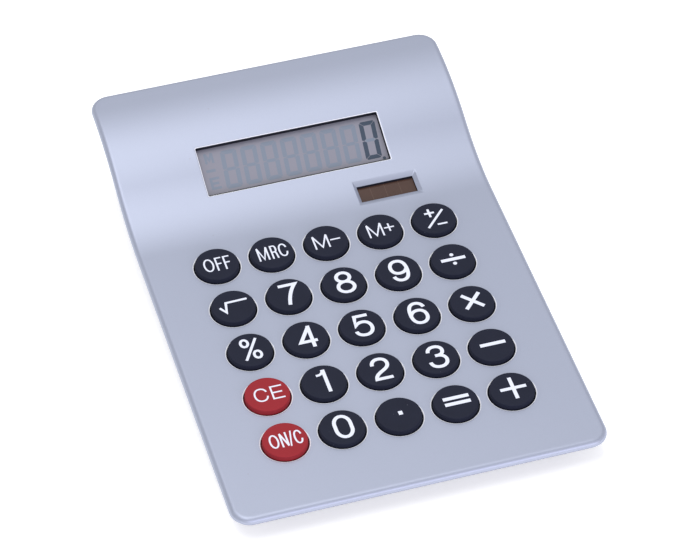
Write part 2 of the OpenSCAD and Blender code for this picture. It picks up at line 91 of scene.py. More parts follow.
def deckSlope(y):
    if y < deck["riseStart"] or y > riseEnd:
        return 0.0
    if y < riseMid:
        return math.asin((y - deck["riseStart"]) / deck["hollowRadius"])
    return math.asin((riseEnd - y) / deck["crownRadius"])


def deckHeight(y):
    slope = deckSlope(y)
    if y < riseMid:
        return deck["hollowRadius"] * (1 - math.cos(slope))
    return riseHeight - deck["crownRadius"] * (1 - math.cos(slope))


def below(x, y, depth):
    # the point this far under the deck's surface, square to it
    slope = deckSlope(y)
    return x, y + depth * math.sin(slope), deckHeight(y) - depth * math.cos(slope)


def deckPoint(x, y, depth=0.0):
    return toWorld(*below(x, y, depth))


# ---------- mesh helpers ----------
def meshObject(name, bm, smoothAngle=None):
    mesh = bpy.data.meshes.new(name)
    bm.to_mesh(mesh)
    bm.free()
    obj = bpy.data.objects.new(name, mesh)
    bpy.context.scene.collection.objects.link(obj)
    if smoothAngle is not None:
        smoothByAngle(mesh, smoothAngle)
    return obj


def smoothByAngle(mesh, degrees):
    mesh.shade_smooth()
    mesh.set_sharp_from_angle(angle=math.radians(degrees))


def closeUp(bm, distance=1e-6):
    bmesh.ops.remove_doubles(bm, verts=bm.verts, dist=distance)
    bmesh.ops.recalc_face_normals(bm, faces=bm.faces)


def addLoop(bm, points):
    return [bm.verts.new(p) for p in points]


def bridge(bm, first, second, paint=0):
    count = len(first)
    for i in range(count):
        j = (i + 1) % count
        bm.faces.new((first[i], first[j], second[j], second[i])).material_index = paint


def addRings(bm, rings, paints=None):
    # bands of faces between rings; paints gives the material index of each band
    loops = [addLoop(bm, ring) for ring in rings]
    for k, (a, b) in enumerate(zip(loops, loops[1:])):
        bridge(bm, a, b, paints[k] if paints else 0)
    return loops


def fillRegion(outer, holes=(), guides=(), guideLines=()):
    # triangles between an outline and its holes; guides are closed loops and guideLines pairs of points
    points, edges, faces = [], [], []
    for loop in [outer, *holes]:
        start = len(points)
        points += [Vector(p) for p in loop]
        faces.append(list(range(start, len(points))))
    for loop in guides:
        start = len(points)
        points += [Vector(p) for p in loop]
        edges += [(start + i, start + (i + 1) % len(loop)) for i in range(len(loop))]
    for line in guideLines:
        start = len(points)
        points += [Vector(p) for p in line]
        edges.append((start, start + 1))
    flat, _, triangles, _, _, owners = delaunay_2d_cdt(points, edges, faces, 1, 1e-5)
    kept = [t for t, o in zip(triangles, owners) if 0 in o and len(set(o)) == 1]
    return flat, kept


def addRegion(bm, place, outer, holes=(), guides=(), guideLines=()):
    flat, triangles = fillRegion(outer, holes, guides, guideLines)
    used = {}
    for triangle in triangles:
        for i in triangle:
            if i not in used:
                used[i] = bm.verts.new(place(flat[i].x, flat[i].y))
        bm.faces.new([used[i] for i in triangle])


def unionShape(polygons):
    # the flat shape that all these polygons cover together, as points and triangles
    points, faces = [], []
    for polygon in polygons:
        start = len(points)
        points += [Vector(p) for p in (polygon[::-1] if isClockwise(polygon) else polygon)]
        faces.append(list(range(start, len(points))))
    flat, _, triangles, _, _, owners = delaunay_2d_cdt(points, [], faces, 1, 1e-5)
    return flat, [t for t, o in zip(triangles, owners) if o]


def isClockwise(polygon):
    return sum(a[0] * b[1] - b[0] * a[1] for a, b in zip(polygon, polygon[1:] + polygon[:1])) < 0


def addPlate(bm, polygons, place, low, high):
    # a thin closed plate over a flat shape, between two heights
    flat, triangles = unionShape(polygons)
    shape = bmesh.new()
    verts = [shape.verts.new((p.x, p.y, high)) for p in flat]
    for triangle in triangles:
        shape.faces.new([verts[i] for i in triangle])
    bmesh.ops.recalc_face_normals(shape, faces=shape.faces)
    edge = bmesh.ops.extrude_face_region(shape, geom=shape.faces[:])
    for v in edge["geom"]:
        if isinstance(v, bmesh.types.BMVert):
            v.co.z = low
    loose = [v for v in shape.verts if not v.link_faces]
    bmesh.ops.delete(shape, geom=loose, context="VERTS")
    bmesh.ops.recalc_face_normals(shape, faces=shape.faces)
    shape.verts.index_update()
    copies = [bm.verts.new(place(v.co.x, v.co.y, v.co.z)) for v in shape.verts]
    for face in shape.faces:
        bm.faces.new([copies[v.index] for v in face.verts])
    shape.free()


def arc(cx, cy, rx, ry, start, end, steps):
    return [
        (cx + rx * math.cos(math.radians(start + (end - start) * i / steps)),
         cy + ry * math.sin(math.radians(start + (end - start) * i / steps)))
        for i in range(steps + 1)
    ]


def roundRect(cx, cy, w, h, r, steps=4):
    x, y = w / 2 - r, h / 2 - r
    loop = []
    for sx, sy, start in ((1, -1, -90), (1, 1, 0), (-1, 1, 90), (-1, -1, 180)):
        loop += arc(cx + sx * x, cy + sy * y, r, r, start, start + 90, steps)
    return loop


def circleLoop(cx, cy, r, steps=72):
    return arc(cx, cy, r, r, 0, 360, steps)[:-1]


def outlineRing(inset, radius, steps=16):
    # the case's outline set in, with a point at each row along its long sides
    w, l = halfWidth - inset, deck["length"] - inset
    side = [y for y in rows if inset + radius + 0.3 < y < l - radius - 0.3]
    ring = arc(w - radius, inset + radius, radius, radius, -90, 0, steps)
    ring += [(w, y) for y in side]
    ring += arc(w - radius, l - radius, radius, radius, 0, 90, steps)
    ring += arc(radius - w, l - radius, radius, radius, 90, 180, steps)
    ring += [(-w, y) for y in reversed(side)]
    ring += arc(radius - w, inset + radius, radius, radius, 180, 270, steps)
    return ring


def splitAtRows(loop, rowOf):
    # adds a point wherever an edge of the loop crosses a row of the deck
    result = []
    for a, b in zip(loop, loop[1:] + loop[:1]):
        result.append(a)
        ya, yb = rowOf(a), rowOf(b)
        cuts = [y for y in rows if min(ya, yb) + 1e-4 < y < max(ya, yb) - 1e-4]
        for y in sorted(cuts, reverse=yb < ya):
            t = (y - ya) / (yb - ya)
            result.append((a[0] + t * (b[0] - a[0]), a[1] + t * (b[1] - a[1])))
    return result


def islandCentres(node):
    # the middle of each separate solid of a CAD node, in metres
    bm = bmesh.new()
    bm.from_mesh(frame["nodes"][node].data)
    bmesh.ops.remove_doubles(bm, verts=bm.verts, dist=1e-6)
    centres, seen = [], set()
    for seed in bm.verts:
        if seed in seen:
            continue
        stack, island = [seed], []
        seen.add(seed)
        while stack:
            v = stack.pop()
            island.append(v.co.copy())
            for e in v.link_edges:
                other = e.other_vert(v)
                if other not in seen:
                    seen.add(other)
                    stack.append(other)
        low = Vector([min(p[i] for p in island) for i in range(3)])
        high = Vector([max(p[i] for p in island) for i in range(3)])
        centres.append((low + high) / 2)
    bm.free()
    return sorted(centres, key=lambda p: (round(p.y, 4), round(p.x, 4)))


def mergedCopy(node, name):
    bm = bmesh.new()
    bm.from_mesh(frame["nodes"][node].data)
    bmesh.ops.remove_doubles(bm, verts=bm.verts, dist=1e-6)
    return meshObject(name, bm)


def applyModifiers(obj):
    # keeps the evaluated result as a plain mesh and drops the modifiers
    evaluated = obj.evaluated_get(bpy.context.evaluated_depsgraph_get())
    mesh = bpy.data.meshes.new_from_object(evaluated)
    obj.modifiers.clear()
    old = obj.data
    obj.data = mesh
    mesh.name = old.name
    bpy.data.meshes.remove(old)


def keyCentre(node):
    low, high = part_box(node)
    return toDeck((low + high) / 2)[:2]


# ---------- shader groups that several materials share ----------
def newGroup(name, inputs, outputs):
    group = bpy.data.node_groups.new(name, "ShaderNodeTree")
    for label, kind, value in inputs:
        socket = group.interface.new_socket(label, in_out="INPUT", socket_type=kind)
        socket.default_value = value
    for label, kind in outputs:
        group.interface.new_socket(label, in_out="OUTPUT", socket_type=kind)
    return group, group.nodes.new("NodeGroupInput"), group.nodes.new("NodeGroupOutput")


def feed(tree, socket, value):
    # a socket takes either a link from another node or a plain value
    if isinstance(value, bpy.types.NodeSocket):
        tree.links.new(value, socket)
    else:
        socket.default_value = value


def mathNode(tree, operation, *values):
    node = tree.nodes.new("ShaderNodeMath")
    node.operation = operation
    for socket, value in zip(node.inputs, values):
        feed(tree, socket, value)
    return node.outputs[0]


def mixColours(tree, factor, a, b):
    node = tree.nodes.new("ShaderNodeMix")
    node.data_type = "RGBA"
    for socket, value in ((node.inputs["Factor"], factor), (node.inputs[6], a), (node.inputs[7], b)):
        feed(tree, socket, value)
    return node.outputs[2]


def noiseNode(tree, vector, scale, detail):
    node = tree.nodes.new("ShaderNodeTexNoise")
    for label, value in (("Vector", vector), ("Scale", scale), ("Detail", detail)):
        feed(tree, node.inputs[label], value)
    return node.outputs["Fac"]


def makeGrainGroup():
    # fine grain: a height for bump, and a colour that varies a little around the base
    group, given, result = newGroup(
        "fineGrain",
        [("Vector", "NodeSocketVector", (0, 0, 0)), ("Base", "NodeSocketColor", (0.5, 0.5, 0.5, 1)),
         ("Grain Scale", "NodeSocketFloat", 4000.0), ("Grain Amount", "NodeSocketFloat", 0.1),
         ("Cloud Scale", "NodeSocketFloat", 30.0), ("Cloud Amount", "NodeSocketFloat", 0.04)],
        [("Colour", "NodeSocketColor"), ("Height", "NodeSocketFloat"), ("Mask", "NodeSocketFloat")])
    grain = noiseNode(group, given.outputs["Vector"], given.outputs["Grain Scale"], 2.0)
    cloud = noiseNode(group, given.outputs["Vector"], given.outputs["Cloud Scale"], 3.0)
    amounts = given.outputs
    lift = mathNode(group, "MULTIPLY", mathNode(group, "SUBTRACT", grain, 0.5), amounts["Grain Amount"])
    drift = mathNode(group, "MULTIPLY", mathNode(group, "SUBTRACT", cloud, 0.5), amounts["Cloud Amount"])
    level = mathNode(group, "ADD", mathNode(group, "ADD", lift, drift), 1.0)
    scaled = group.nodes.new("ShaderNodeVectorMath")
    scaled.operation = "SCALE"
    group.links.new(given.outputs["Base"], scaled.inputs[0])
    group.links.new(level, scaled.inputs["Scale"])
    group.links.new(scaled.outputs[0], result.inputs["Colour"])
    group.links.new(grain, result.inputs["Height"])
    group.links.new(cloud, result.inputs["Mask"])
    return group


def makeDustGroup():
    # sparse specks, as a mask
    group, given, result = newGroup(
        "dustSpecks",
        [("Vector", "NodeSocketVector", (0, 0, 0)), ("Scale", "NodeSocketFloat", 400.0),
         ("Size", "NodeSocketFloat", 0.08), ("Share", "NodeSocketFloat", 0.2)],
        [("Mask", "NodeSocketFloat")])
    cells = group.nodes.new("ShaderNodeTexVoronoi")
    group.links.new(given.outputs["Vector"], cells.inputs["Vector"])
    group.links.new(given.outputs["Scale"], cells.inputs["Scale"])
    near = mathNode(group, "LESS_THAN", cells.outputs["Distance"], given.outputs["Size"])
    split = group.nodes.new("ShaderNodeSeparateColor")
    group.links.new(cells.outputs["Color"], split.inputs[0])
    chosen = mathNode(group, "LESS_THAN", split.outputs[0], given.outputs["Share"])
    group.links.new(mathNode(group, "MULTIPLY", near, chosen), result.inputs["Mask"])
    return group


grainGroup = makeGrainGroup()
dustGroup = makeDustGroup()


def groupNode(tree, group, vector, **values):
    node = tree.nodes.new("ShaderNodeGroup")
    node.node_tree = group
    tree.links.new(vector, node.inputs["Vector"])
    for label, value in values.items():
        node.inputs[label.replace("_", " ")].default_value = value
    return node


def newMaterial(name):
    material = bpy.data.materials.new(name)
    material.use_nodes = True
    tree = material.node_tree
    shader = tree.nodes["Principled BSDF"]
    coords = tree.nodes.new("ShaderNodeTexCoord").outputs["Object"]
    return material, tree, shader, coords


def addBump(tree, shader, height, strength, distance):
    bump = tree.nodes.new("ShaderNodeBump")
    bump.inputs["Strength"].default_value = strength
    bump.inputs["Distance"].default_value = distance
    tree.links.new(height, bump.inputs["Height"])
    tree.links.new(bump.outputs["Normal"], shader.inputs["Normal"])


def grainMaterial(name, look):
    # a finish with grain, slow drift of tone and, where it has them, specks of dust
    material, tree, shader, coords = newMaterial(name)
    grain = groupNode(tree, grainGroup, coords, Base=(*look["colour"], 1), Grain_Scale=look["grainScale"],
                      Grain_Amount=look["grainAmount"], Cloud_Scale=look.get("cloudScale", 30.0),
                      Cloud_Amount=look.get("cloudAmount", 0.04))
    colour = grain.outputs["Colour"]
    if "speckColour" in look:
        specks = groupNode(tree, dustGroup, coords, Scale=look["speckScale"], Size=look["speckSize"],
                           Share=look["speckShare"])
        colour = mixColours(tree, specks.outputs["Mask"], colour, (*look["speckColour"], 1))
    tree.links.new(colour, shader.inputs["Base Color"])
    shader.inputs["Metallic"].default_value = look.get("metallic", 0.0)
    shader.inputs["Roughness"].default_value = look["roughness"]
    shader.inputs["Specular IOR Level"].default_value = look.get("specular", 0.5)
    shader.inputs["Coat Weight"].default_value = look.get("coat", 0.0)
    shader.inputs["Coat Roughness"].default_value = look.get("coatRoughness", 0.2)
    addBump(tree, shader, grain.outputs["Height"], look.get("bump", 0.2), look.get("bumpDepth", 0.00005))
    return material


# ---------- materials ----------
finishes = {
    "silver_paint": {"colour": (0.372, 0.402, 0.503), "metallic": 0.45, "roughness": 0.42,
                     "grainScale": 5200.0, "grainAmount": 0.16, "cloudScale": 14.0, "cloudAmount": 0.05,
                     "bump": 0.10, "bumpDepth": 0.00003, "speckColour": (0.33, 0.33, 0.40), "speckScale": 160.0,
                     "speckSize": 0.035, "speckShare": 0.22},
    # painted highlight: near-white paint on the lips round the key holes and the display window, standing in
    # for light caught by those edges
    "silver_edge": {"colour": (0.93, 0.94, 1.0), "metallic": 0.0, "roughness": 0.35, "grainScale": 5200.0,
                    "grainAmount": 0.08, "bump": 0.05},
    # painted shade: near-black walls in the key gaps, the display window and the solar well, standing in for
    # the shadow down in those openings
    "dark_wall": {"colour": (0.012, 0.012, 0.02), "roughness": 0.6, "specular": 0.2, "grainScale": 2200.0,
                  "grainAmount": 0.2, "bump": 0.1},
    # dark grey-lilac underside; its darkness is partly painted shade, so the lower rim reads as a dark shaded
    # line
    "case_underside": {"colour": (0.135, 0.137, 0.190), "metallic": 0.2, "roughness": 0.55,
                       "grainScale": 2600.0, "grainAmount": 0.10, "bump": 0.35, "bumpDepth": 0.00005},
    "foot_rubber": {"colour": (0.035, 0.035, 0.04), "roughness": 0.8, "grainScale": 3000.0,
                    "grainAmount": 0.3, "bump": 0.4},
    "screw_steel": {"colour": (0.55, 0.56, 0.58), "metallic": 1.0, "roughness": 0.35,
                    "grainScale": 6000.0, "grainAmount": 0.12, "bump": 0.08},
    "navy_key": {"colour": (0.0130, 0.0155, 0.031), "roughness": 0.62, "specular": 0.15, "grainScale": 2600.0,
                 "grainAmount": 0.35, "cloudScale": 160.0, "cloudAmount": 0.25, "bump": 0.22,
                 "bumpDepth": 0.00005, "speckColour": (0.085, 0.09, 0.12), "speckScale": 520.0,
                 "speckSize": 0.085, "speckShare": 0.10},
    "red_key": {"colour": (0.305, 0.024, 0.032), "roughness": 0.6, "specular": 0.12, "grainScale": 2600.0,
                "grainAmount": 0.12, "cloudScale": 160.0, "cloudAmount": 0.08, "bump": 0.2,
                "bumpDepth": 0.00005},
    "legend_white": {"colour": (0.78, 0.81, 0.92), "roughness": 0.5, "specular": 0.3, "grainScale": 4000.0,
                     "grainAmount": 0.05, "bump": 0.05},
    "silicone": {"colour": (0.60, 0.60, 0.56), "roughness": 0.6, "grainScale": 900.0,
                 "grainAmount": 0.06, "bump": 0.1},
    "carbon": {"colour": (0.02, 0.02, 0.02), "roughness": 0.7, "grainScale": 2500.0,
               "grainAmount": 0.3, "bump": 0.2},
    "board": {"colour": (0.02, 0.13, 0.045), "roughness": 0.35, "grainScale": 900.0,
              "grainAmount": 0.2, "bump": 0.15, "coat": 0.3},
    "gold_pads": {"colour": (0.75, 0.52, 0.18), "metallic": 1.0, "roughness": 0.3,
                  "grainScale": 3000.0, "grainAmount": 0.08, "bump": 0.05},
    "resin": {"colour": (0.015, 0.015, 0.017), "roughness": 0.28, "grainScale": 700.0,
              "grainAmount": 0.2, "bump": 0.1},
    "can_sleeve": {"colour": (0.03, 0.045, 0.20), "roughness": 0.3, "grainScale": 900.0,
                   "grainAmount": 0.08, "bump": 0.05},
    "resistor_body": {"colour": (0.10, 0.09, 0.08), "roughness": 0.5, "grainScale": 2000.0,
                      "grainAmount": 0.15, "bump": 0.1},
    "diode_glass": {"colour": (0.45, 0.11, 0.04), "roughness": 0.15, "grainScale": 1500.0,
                    "grainAmount": 0.1, "bump": 0.03, "coat": 0.5},
    "polariser": {"colour": (0.232, 0.230, 0.280), "roughness": 0.36, "specular": 0.35, "grainScale": 3000.0,
                  "grainAmount": 0.03, "cloudScale": 60.0, "cloudAmount": 0.05, "bump": 0.02},
    "segment_on": {"colour": (0.036, 0.056, 0.090), "roughness": 0.4, "specular": 0.3, "grainScale": 3000.0,
                   "grainAmount": 0.06, "bump": 0.02},
    "segment_off": {"colour": (0.178, 0.212, 0.276), "roughness": 0.36, "specular": 0.35,
                    "grainScale": 3000.0, "grainAmount": 0.03, "bump": 0.02},
    "reflector": {"colour": (0.55, 0.55, 0.52), "metallic": 0.4, "roughness": 0.4,
                  "grainScale": 2500.0, "grainAmount": 0.05, "bump": 0.05},
    "black_plastic": {"colour": (0.025, 0.025, 0.03), "roughness": 0.5, "grainScale": 2200.0,
                      "grainAmount": 0.2, "bump": 0.2},
    "ribbon_film": {"colour": (0.42, 0.17, 0.03), "roughness": 0.25, "grainScale": 700.0,
                    "grainAmount": 0.1, "bump": 0.05, "coat": 0.4},
    "foam": {"colour": (0.04, 0.04, 0.045), "roughness": 0.95, "grainScale": 1600.0,
             "grainAmount": 0.4, "bump": 0.6},
    "red_wire": {"colour": (0.45, 0.02, 0.02), "roughness": 0.35, "grainScale": 1500.0,
                 "grainAmount": 0.08, "bump": 0.05},
    "black_wire": {"colour": (0.015, 0.015, 0.017), "roughness": 0.35, "grainScale": 1500.0,
                   "grainAmount": 0.1, "bump": 0.05},
    "cell_wrap": {"colour": (0.05, 0.12, 0.25), "metallic": 0.3, "roughness": 0.28,
                  "grainScale": 1200.0, "grainAmount": 0.08, "bump": 0.04},
    "spring_steel": {"colour": (0.66, 0.66, 0.68), "metallic": 1.0, "roughness": 0.22,
                     "grainScale": 4000.0, "grainAmount": 0.08, "bump": 0.04},
}

solarLook = {
    "colour": (0.070, 0.036, 0.027),
    "lineColour": (0.115, 0.070, 0.055),
    "roughness": 0.22,
    "spacing": 5.35,
    "lineWidth": 0.13,
    "firstX": 23.4,
}


def solarMaterial(look):
    # brown cell under glass, split into four by fine lines across its length
    material, tree, shader, coords = newMaterial("solarBrown")
    grain = groupNode(tree, grainGroup, coords, Base=(*look["colour"], 1), Grain_Scale=2500.0,
                      Grain_Amount=0.12, Cloud_Scale=220.0, Cloud_Amount=0.25)
    split = tree.nodes.new("ShaderNodeSeparateXYZ")
    tree.links.new(coords, split.inputs[0])
    along = mathNode(tree, "SUBTRACT", split.outputs["X"], look["firstX"] * mm)
    step = mathNode(tree, "DIVIDE", along, look["spacing"] * mm)
    away = mathNode(tree, "ABSOLUTE", mathNode(tree, "SUBTRACT", step, mathNode(tree, "ROUND", step)))
    line = mathNode(tree, "LESS_THAN", away, look["lineWidth"] / look["spacing"] / 2)
    colour = mixColours(tree, line, grain.outputs["Colour"], (*look["lineColour"], 1))
    tree.links.new(colour, shader.inputs["Base Color"])
    shader.inputs["Roughness"].default_value = look["roughness"]
    shader.inputs["Specular IOR Level"].default_value = 0.25
    addBump(tree, shader, grain.outputs["Height"], 0.04, 0.00003)
    return material


def glassMaterial():
    material, tree, shader, coords = newMaterial("displayGlass")
    grain = groupNode(tree, grainGroup, coords, Base=(0.86, 0.90, 0.90, 1), Grain_Scale=900.0,
                      Grain_Amount=0.02, Cloud_Scale=50.0, Cloud_Amount=0.02)
    tree.links.new(grain.outputs["Colour"], shader.inputs["Base Color"])
    shader.inputs["Roughness"].default_value = 0.05
    shader.inputs["Transmission Weight"].default_value = 0.9
    addBump(tree, shader, grain.outputs["Height"], 0.02, 0.00002)
    return material


materials = {name: grainMaterial(name, look) for name, look in finishes.items()}
materials["solar_brown"] = solarMaterial(solarLook)
materials["lcd_glass"] = glassMaterial()
for part in frame["record"]["subparts"]:
    mesh = frame["nodes"][part["node"]].data
    mesh.materials.clear()
    mesh.materials.append(materials[part["material_slot"]])
print("materials ready")


def finishPiece(obj, material, body, replaced=()):
    if material is not None:
        if obj.data.materials:
            obj.data.materials.clear()
        obj.data.materials.append(materials[material])
    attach(obj, body)
    if replaced:
        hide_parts(*replaced)
    return obj


# ---------- display frame: s runs up the slope, n stands off the glass ----------
display = {
    "centreY": riseMid,
    "angle": math.radians(21),
    "windowWidth": 68.2,
    "windowLength": 19.8,
    "corner": 0.45,
    "mouth": 0.22,
    "wallEnd": -2.4,
    "wall": 1.0,
    "face": 2.45,
    "filmWidth": 69.5,
    "filmLength": 19.4,
    "filmShift": 1.3,
    "film": 0.2,
}


def fromDisplay(x, s, n):
    c, k = math.cos(display["angle"]), math.sin(display["angle"])
    y = display["centreY"] + s * c - n * k
    w = deckHeight(display["centreY"]) + s * k + n * c
    return toWorld(x, y, w)


def displayAlong(y, depth):
    # place along the slope, and height off it, of the point at this depth under the deck's row y
    _, py, pw = below(0, y, depth)
    dy, dw = py - display["centreY"], pw - deckHeight(display["centreY"])
    c, k = math.cos(display["angle"]), math.sin(display["angle"])
    return dy * c + dw * k, dw * c - dy * k


def rowAtSlope(s, depth):
    low, high = display["centreY"] - 25, display["centreY"] + 25
    for _ in range(50):
        middle = (low + high) / 2
        if displayAlong(middle, depth)[0] < s:
            low = middle
        else:
            high = middle
    return (low + high) / 2


# ---------- top shell ----------
shell = {
    "edgeInset": 1.8,
    "edgeSteps": 8,
    "support": 0.5,
    "holeRadius": 8.22,
    "holeLip": 0.42,
    "holeSupport": 0.3,
    "windowSupport": 0.4,
    "solarY": 137.6,
    "solarMouth": (17.35, 41.05, 132.15, 143.05),
    "solarWell": (18.6, 39.6, 134.3, 141.5),
    "solarCorner": 0.25,
    "solarBevel": 1.0,
    "solarDepth": 2.0,
    "solarFooting": 0.7,
    "solarUnder": 1.2,
}


def surfaceLoop(loop, depth):
    return [deckPoint(x, y, depth) for x, y in loop]


def rowLines(reach, clear=(), loops=()):
    # a guide across the deck at every row, broken inside the clear boxes and inside the loops
    lines = []
    for y in rows:
        cuts = [(low, high) for low, high, front, rear in clear if front < y < rear]
        for loop in loops:
            met = [px for px, py in loop if abs(py - y) < 1e-4]
            if len(met) > 1:
                cuts.append((min(met), max(met)))
        start = -reach
        for low, high in sorted(cuts):
            lines.append(((start, y), (low, y)))
            start = high
        lines.append(((start, y), (reach, y)))
    return lines


def boxRound(x, y, r):
    return x - r, x + r, y - r, y + r


def keyHoleRings(x, y):
    r, lip = shell["holeRadius"], shell["holeLip"]
    rings = []
    for turn in (0, 30, 60, 90):
        c, s = math.cos(math.radians(turn)), math.sin(math.radians(turn))
        rings.append(surfaceLoop(circleLoop(x, y, r + lip * (1 - s)), lip * (1 - c)))
    rings.append(surfaceLoop(circleLoop(x, y, r), deck["skin"]))
    return rings


def cornerRect(low, high, front, rear, r):
    return roundRect((low + high) / 2, (front + rear) / 2, high - low, rear - front, r, 3)


def stretched(loop, old, new):
    # the same loop carried from one box to another, both as low, high, front, rear
    return [
        (new[0] + (x - old[0]) / (old[1] - old[0]) * (new[1] - new[0]),
         new[2] + (y - old[2]) / (old[3] - old[2]) * (new[3] - new[2]))
        for x, y in loop
    ]


def grownBox(box, by):
    return box[0] - by, box[1] + by, box[2] - by, box[3] + by


def solarPlace(x, y, depth):
    # a point of the solar cell's own plane, over or under the deck point at its middle
    slope = deckSlope(shell["solarY"])
    along = (y - shell["solarY"] - depth * math.sin(slope)) / math.cos(slope)
    return toWorld(x, y, deckHeight(shell["solarY"]) + along * math.sin(slope) - depth * math.cos(slope))


def makeTopShell():
    bm = bmesh.new()
    edge, skin, corner = shell["edgeInset"], deck["skin"], deck["corner"]
    rings = []
    for i in range(shell["edgeSteps"] + 1):
        turn = math.pi / 2 * i / shell["edgeSteps"]
        inset = edge * (1 - math.sin(turn))
        rings.append(surfaceLoop(outlineRing(inset, corner - inset), skin * (1 - math.cos(turn))))
    addRings(bm, rings)
    centres = [keyCentre(node) for node in frame["nodes"] if node.startswith("key_") and node != "key_mat"]
    for x, y in centres:
        # each key hole: the lip's outer half is a painted highlight (material 1), its inner half and the wall
        # down the gap painted shade (material 2)
        addRings(bm, keyHoleRings(x, y), (1, 1, 2, 2))
    # display window: its mouth lies on the deck and its walls stand square to the glass
    half, length, grow = display["windowWidth"] / 2, display["windowLength"] / 2, display["mouth"]
    window = -half, half, -length, length
    mouthBox = grownBox(window, grow)
    mouth = [(x, rowAtSlope(s, 0)) for x, s in cornerRect(*mouthBox, display["corner"])]
    mouth = splitAtRows(mouth, lambda p: p[1])
    flat = [(x, displayAlong(y, 0)[0]) for x, y in mouth]
    inner = stretched(flat, mouthBox, window)
    wide = stretched(flat, mouthBox, grownBox(window, display["wall"]))
    wideOnDeck = [(x, rowAtSlope(s, skin)) for x, s in wide]
    soft = stretched(flat, mouthBox, grownBox(window, grow * 0.3))
    # the mouth's fillet is a painted highlight (material 1), the walls painted shade (material 2)
    addRings(bm, [
        surfaceLoop(mouth, 0),
        [deckPoint(x, rowAtSlope(s, grow * 0.3), grow * 0.3) for x, s in soft],
        [deckPoint(x, rowAtSlope(s, grow), grow) for x, s in inner],
        [fromDisplay(x, s, display["wallEnd"]) for x, s in inner],
        [fromDisplay(x, s, display["wallEnd"]) for x, s in wide],
        surfaceLoop(wideOnDeck, skin),
    ], (1, 1, 2, 2, 0))
    # solar window: a wide bevel, then walls down to the cell; the walls and their footing are painted shade
    # (material 2)
    outerBox, wellBox = shell["solarMouth"], shell["solarWell"]
    solarMouth = splitAtRows(cornerRect(*outerBox, shell["solarCorner"]), lambda p: p[1])
    well = stretched(solarMouth, outerBox, wellBox)
    footing = stretched(solarMouth, outerBox, grownBox(wellBox, shell["solarFooting"]))
    under = stretched(solarMouth, outerBox, grownBox(wellBox, shell["solarUnder"]))
    addRings(bm, [
        surfaceLoop(solarMouth, 0),
        [solarPlace(x, y, shell["solarBevel"]) for x, y in well],
        [solarPlace(x, y, shell["solarDepth"]) for x, y in well],
        [solarPlace(x, y, shell["solarDepth"]) for x, y in footing],
        surfaceLoop(under, skin),
    ], (0, 2, 2, 0))
    # the upper face; loops close beside each opening keep its shading narrow
    lipRadius = shell["holeRadius"] + shell["holeLip"]
    inward = edge + shell["support"]
    mouthSupport = cornerRect(*grownBox(mouthBox, shell["windowSupport"]), display["corner"])
    solarSupport = cornerRect(*grownBox(outerBox, shell["windowSupport"]), shell["solarCorner"])
    addRegion(
        bm, deckPoint, outlineRing(edge, corner - edge),
        [circleLoop(x, y, lipRadius) for x, y in centres] + [mouth, solarMouth],
        [circleLoop(x, y, lipRadius + shell["holeSupport"]) for x, y in centres]
        + [outlineRing(inward, corner - inward), [(x, rowAtSlope(s, 0)) for x, s in mouthSupport],
           solarSupport],
        rowLines(halfWidth - edge, loops=(mouth, solarMouth)))
    # the lower face; its row guides stop short of the openings
    wideBox = (-half - 1.4, half + 1.4,
               min(y for x, y in wideOnDeck) - 0.4, max(y for x, y in wideOnDeck) + 0.4)
    clear = [boxRound(x, y, shell["holeRadius"] + 0.5) for x, y in centres]
    clear += [wideBox, grownBox(wellBox, 1.8)]
    addRegion(
        bm, lambda x, y: deckPoint(x, y, skin), outlineRing(0, corner),
        [circleLoop(x, y, shell["holeRadius"]) for x, y in centres] + [wideOnDeck, under], [],
        rowLines(halfWidth, clear))
    closeUp(bm)
    return meshObject("topShell", bm, 32)


topShell = finishPiece(makeTopShell(), "silver_paint", caseBody, ["top_case"])
# material 1 is the painted highlight for the opening lips, material 2 the painted shade for their walls
topShell.data.materials.append(materials["silver_edge"])
topShell.data.materials.append(materials["dark_wall"])
print("top shell", len(topShell.data.polygons))

# ---------- bottom shell: the CAD piece inside a rounded envelope ----------
tray = {
    "rimInset": 0.38,
    "rimEnd": 3.52,
    "rimSoft": 1.4,
    "wallInset": 6.58,
    "wallRadius": 7.92,
    "floor": 1.08,
    "footing": 2.0,
    "overlap": 1.5,
    "roundSteps": 6,
}


def heightFor(y, z):
    # the deck height w of the point at this row and this height z over the desk
    c, s = math.cos(deck["tilt"]), math.sin(deck["tilt"])
    return (z - deck["frontHeight"] - y * s) / c


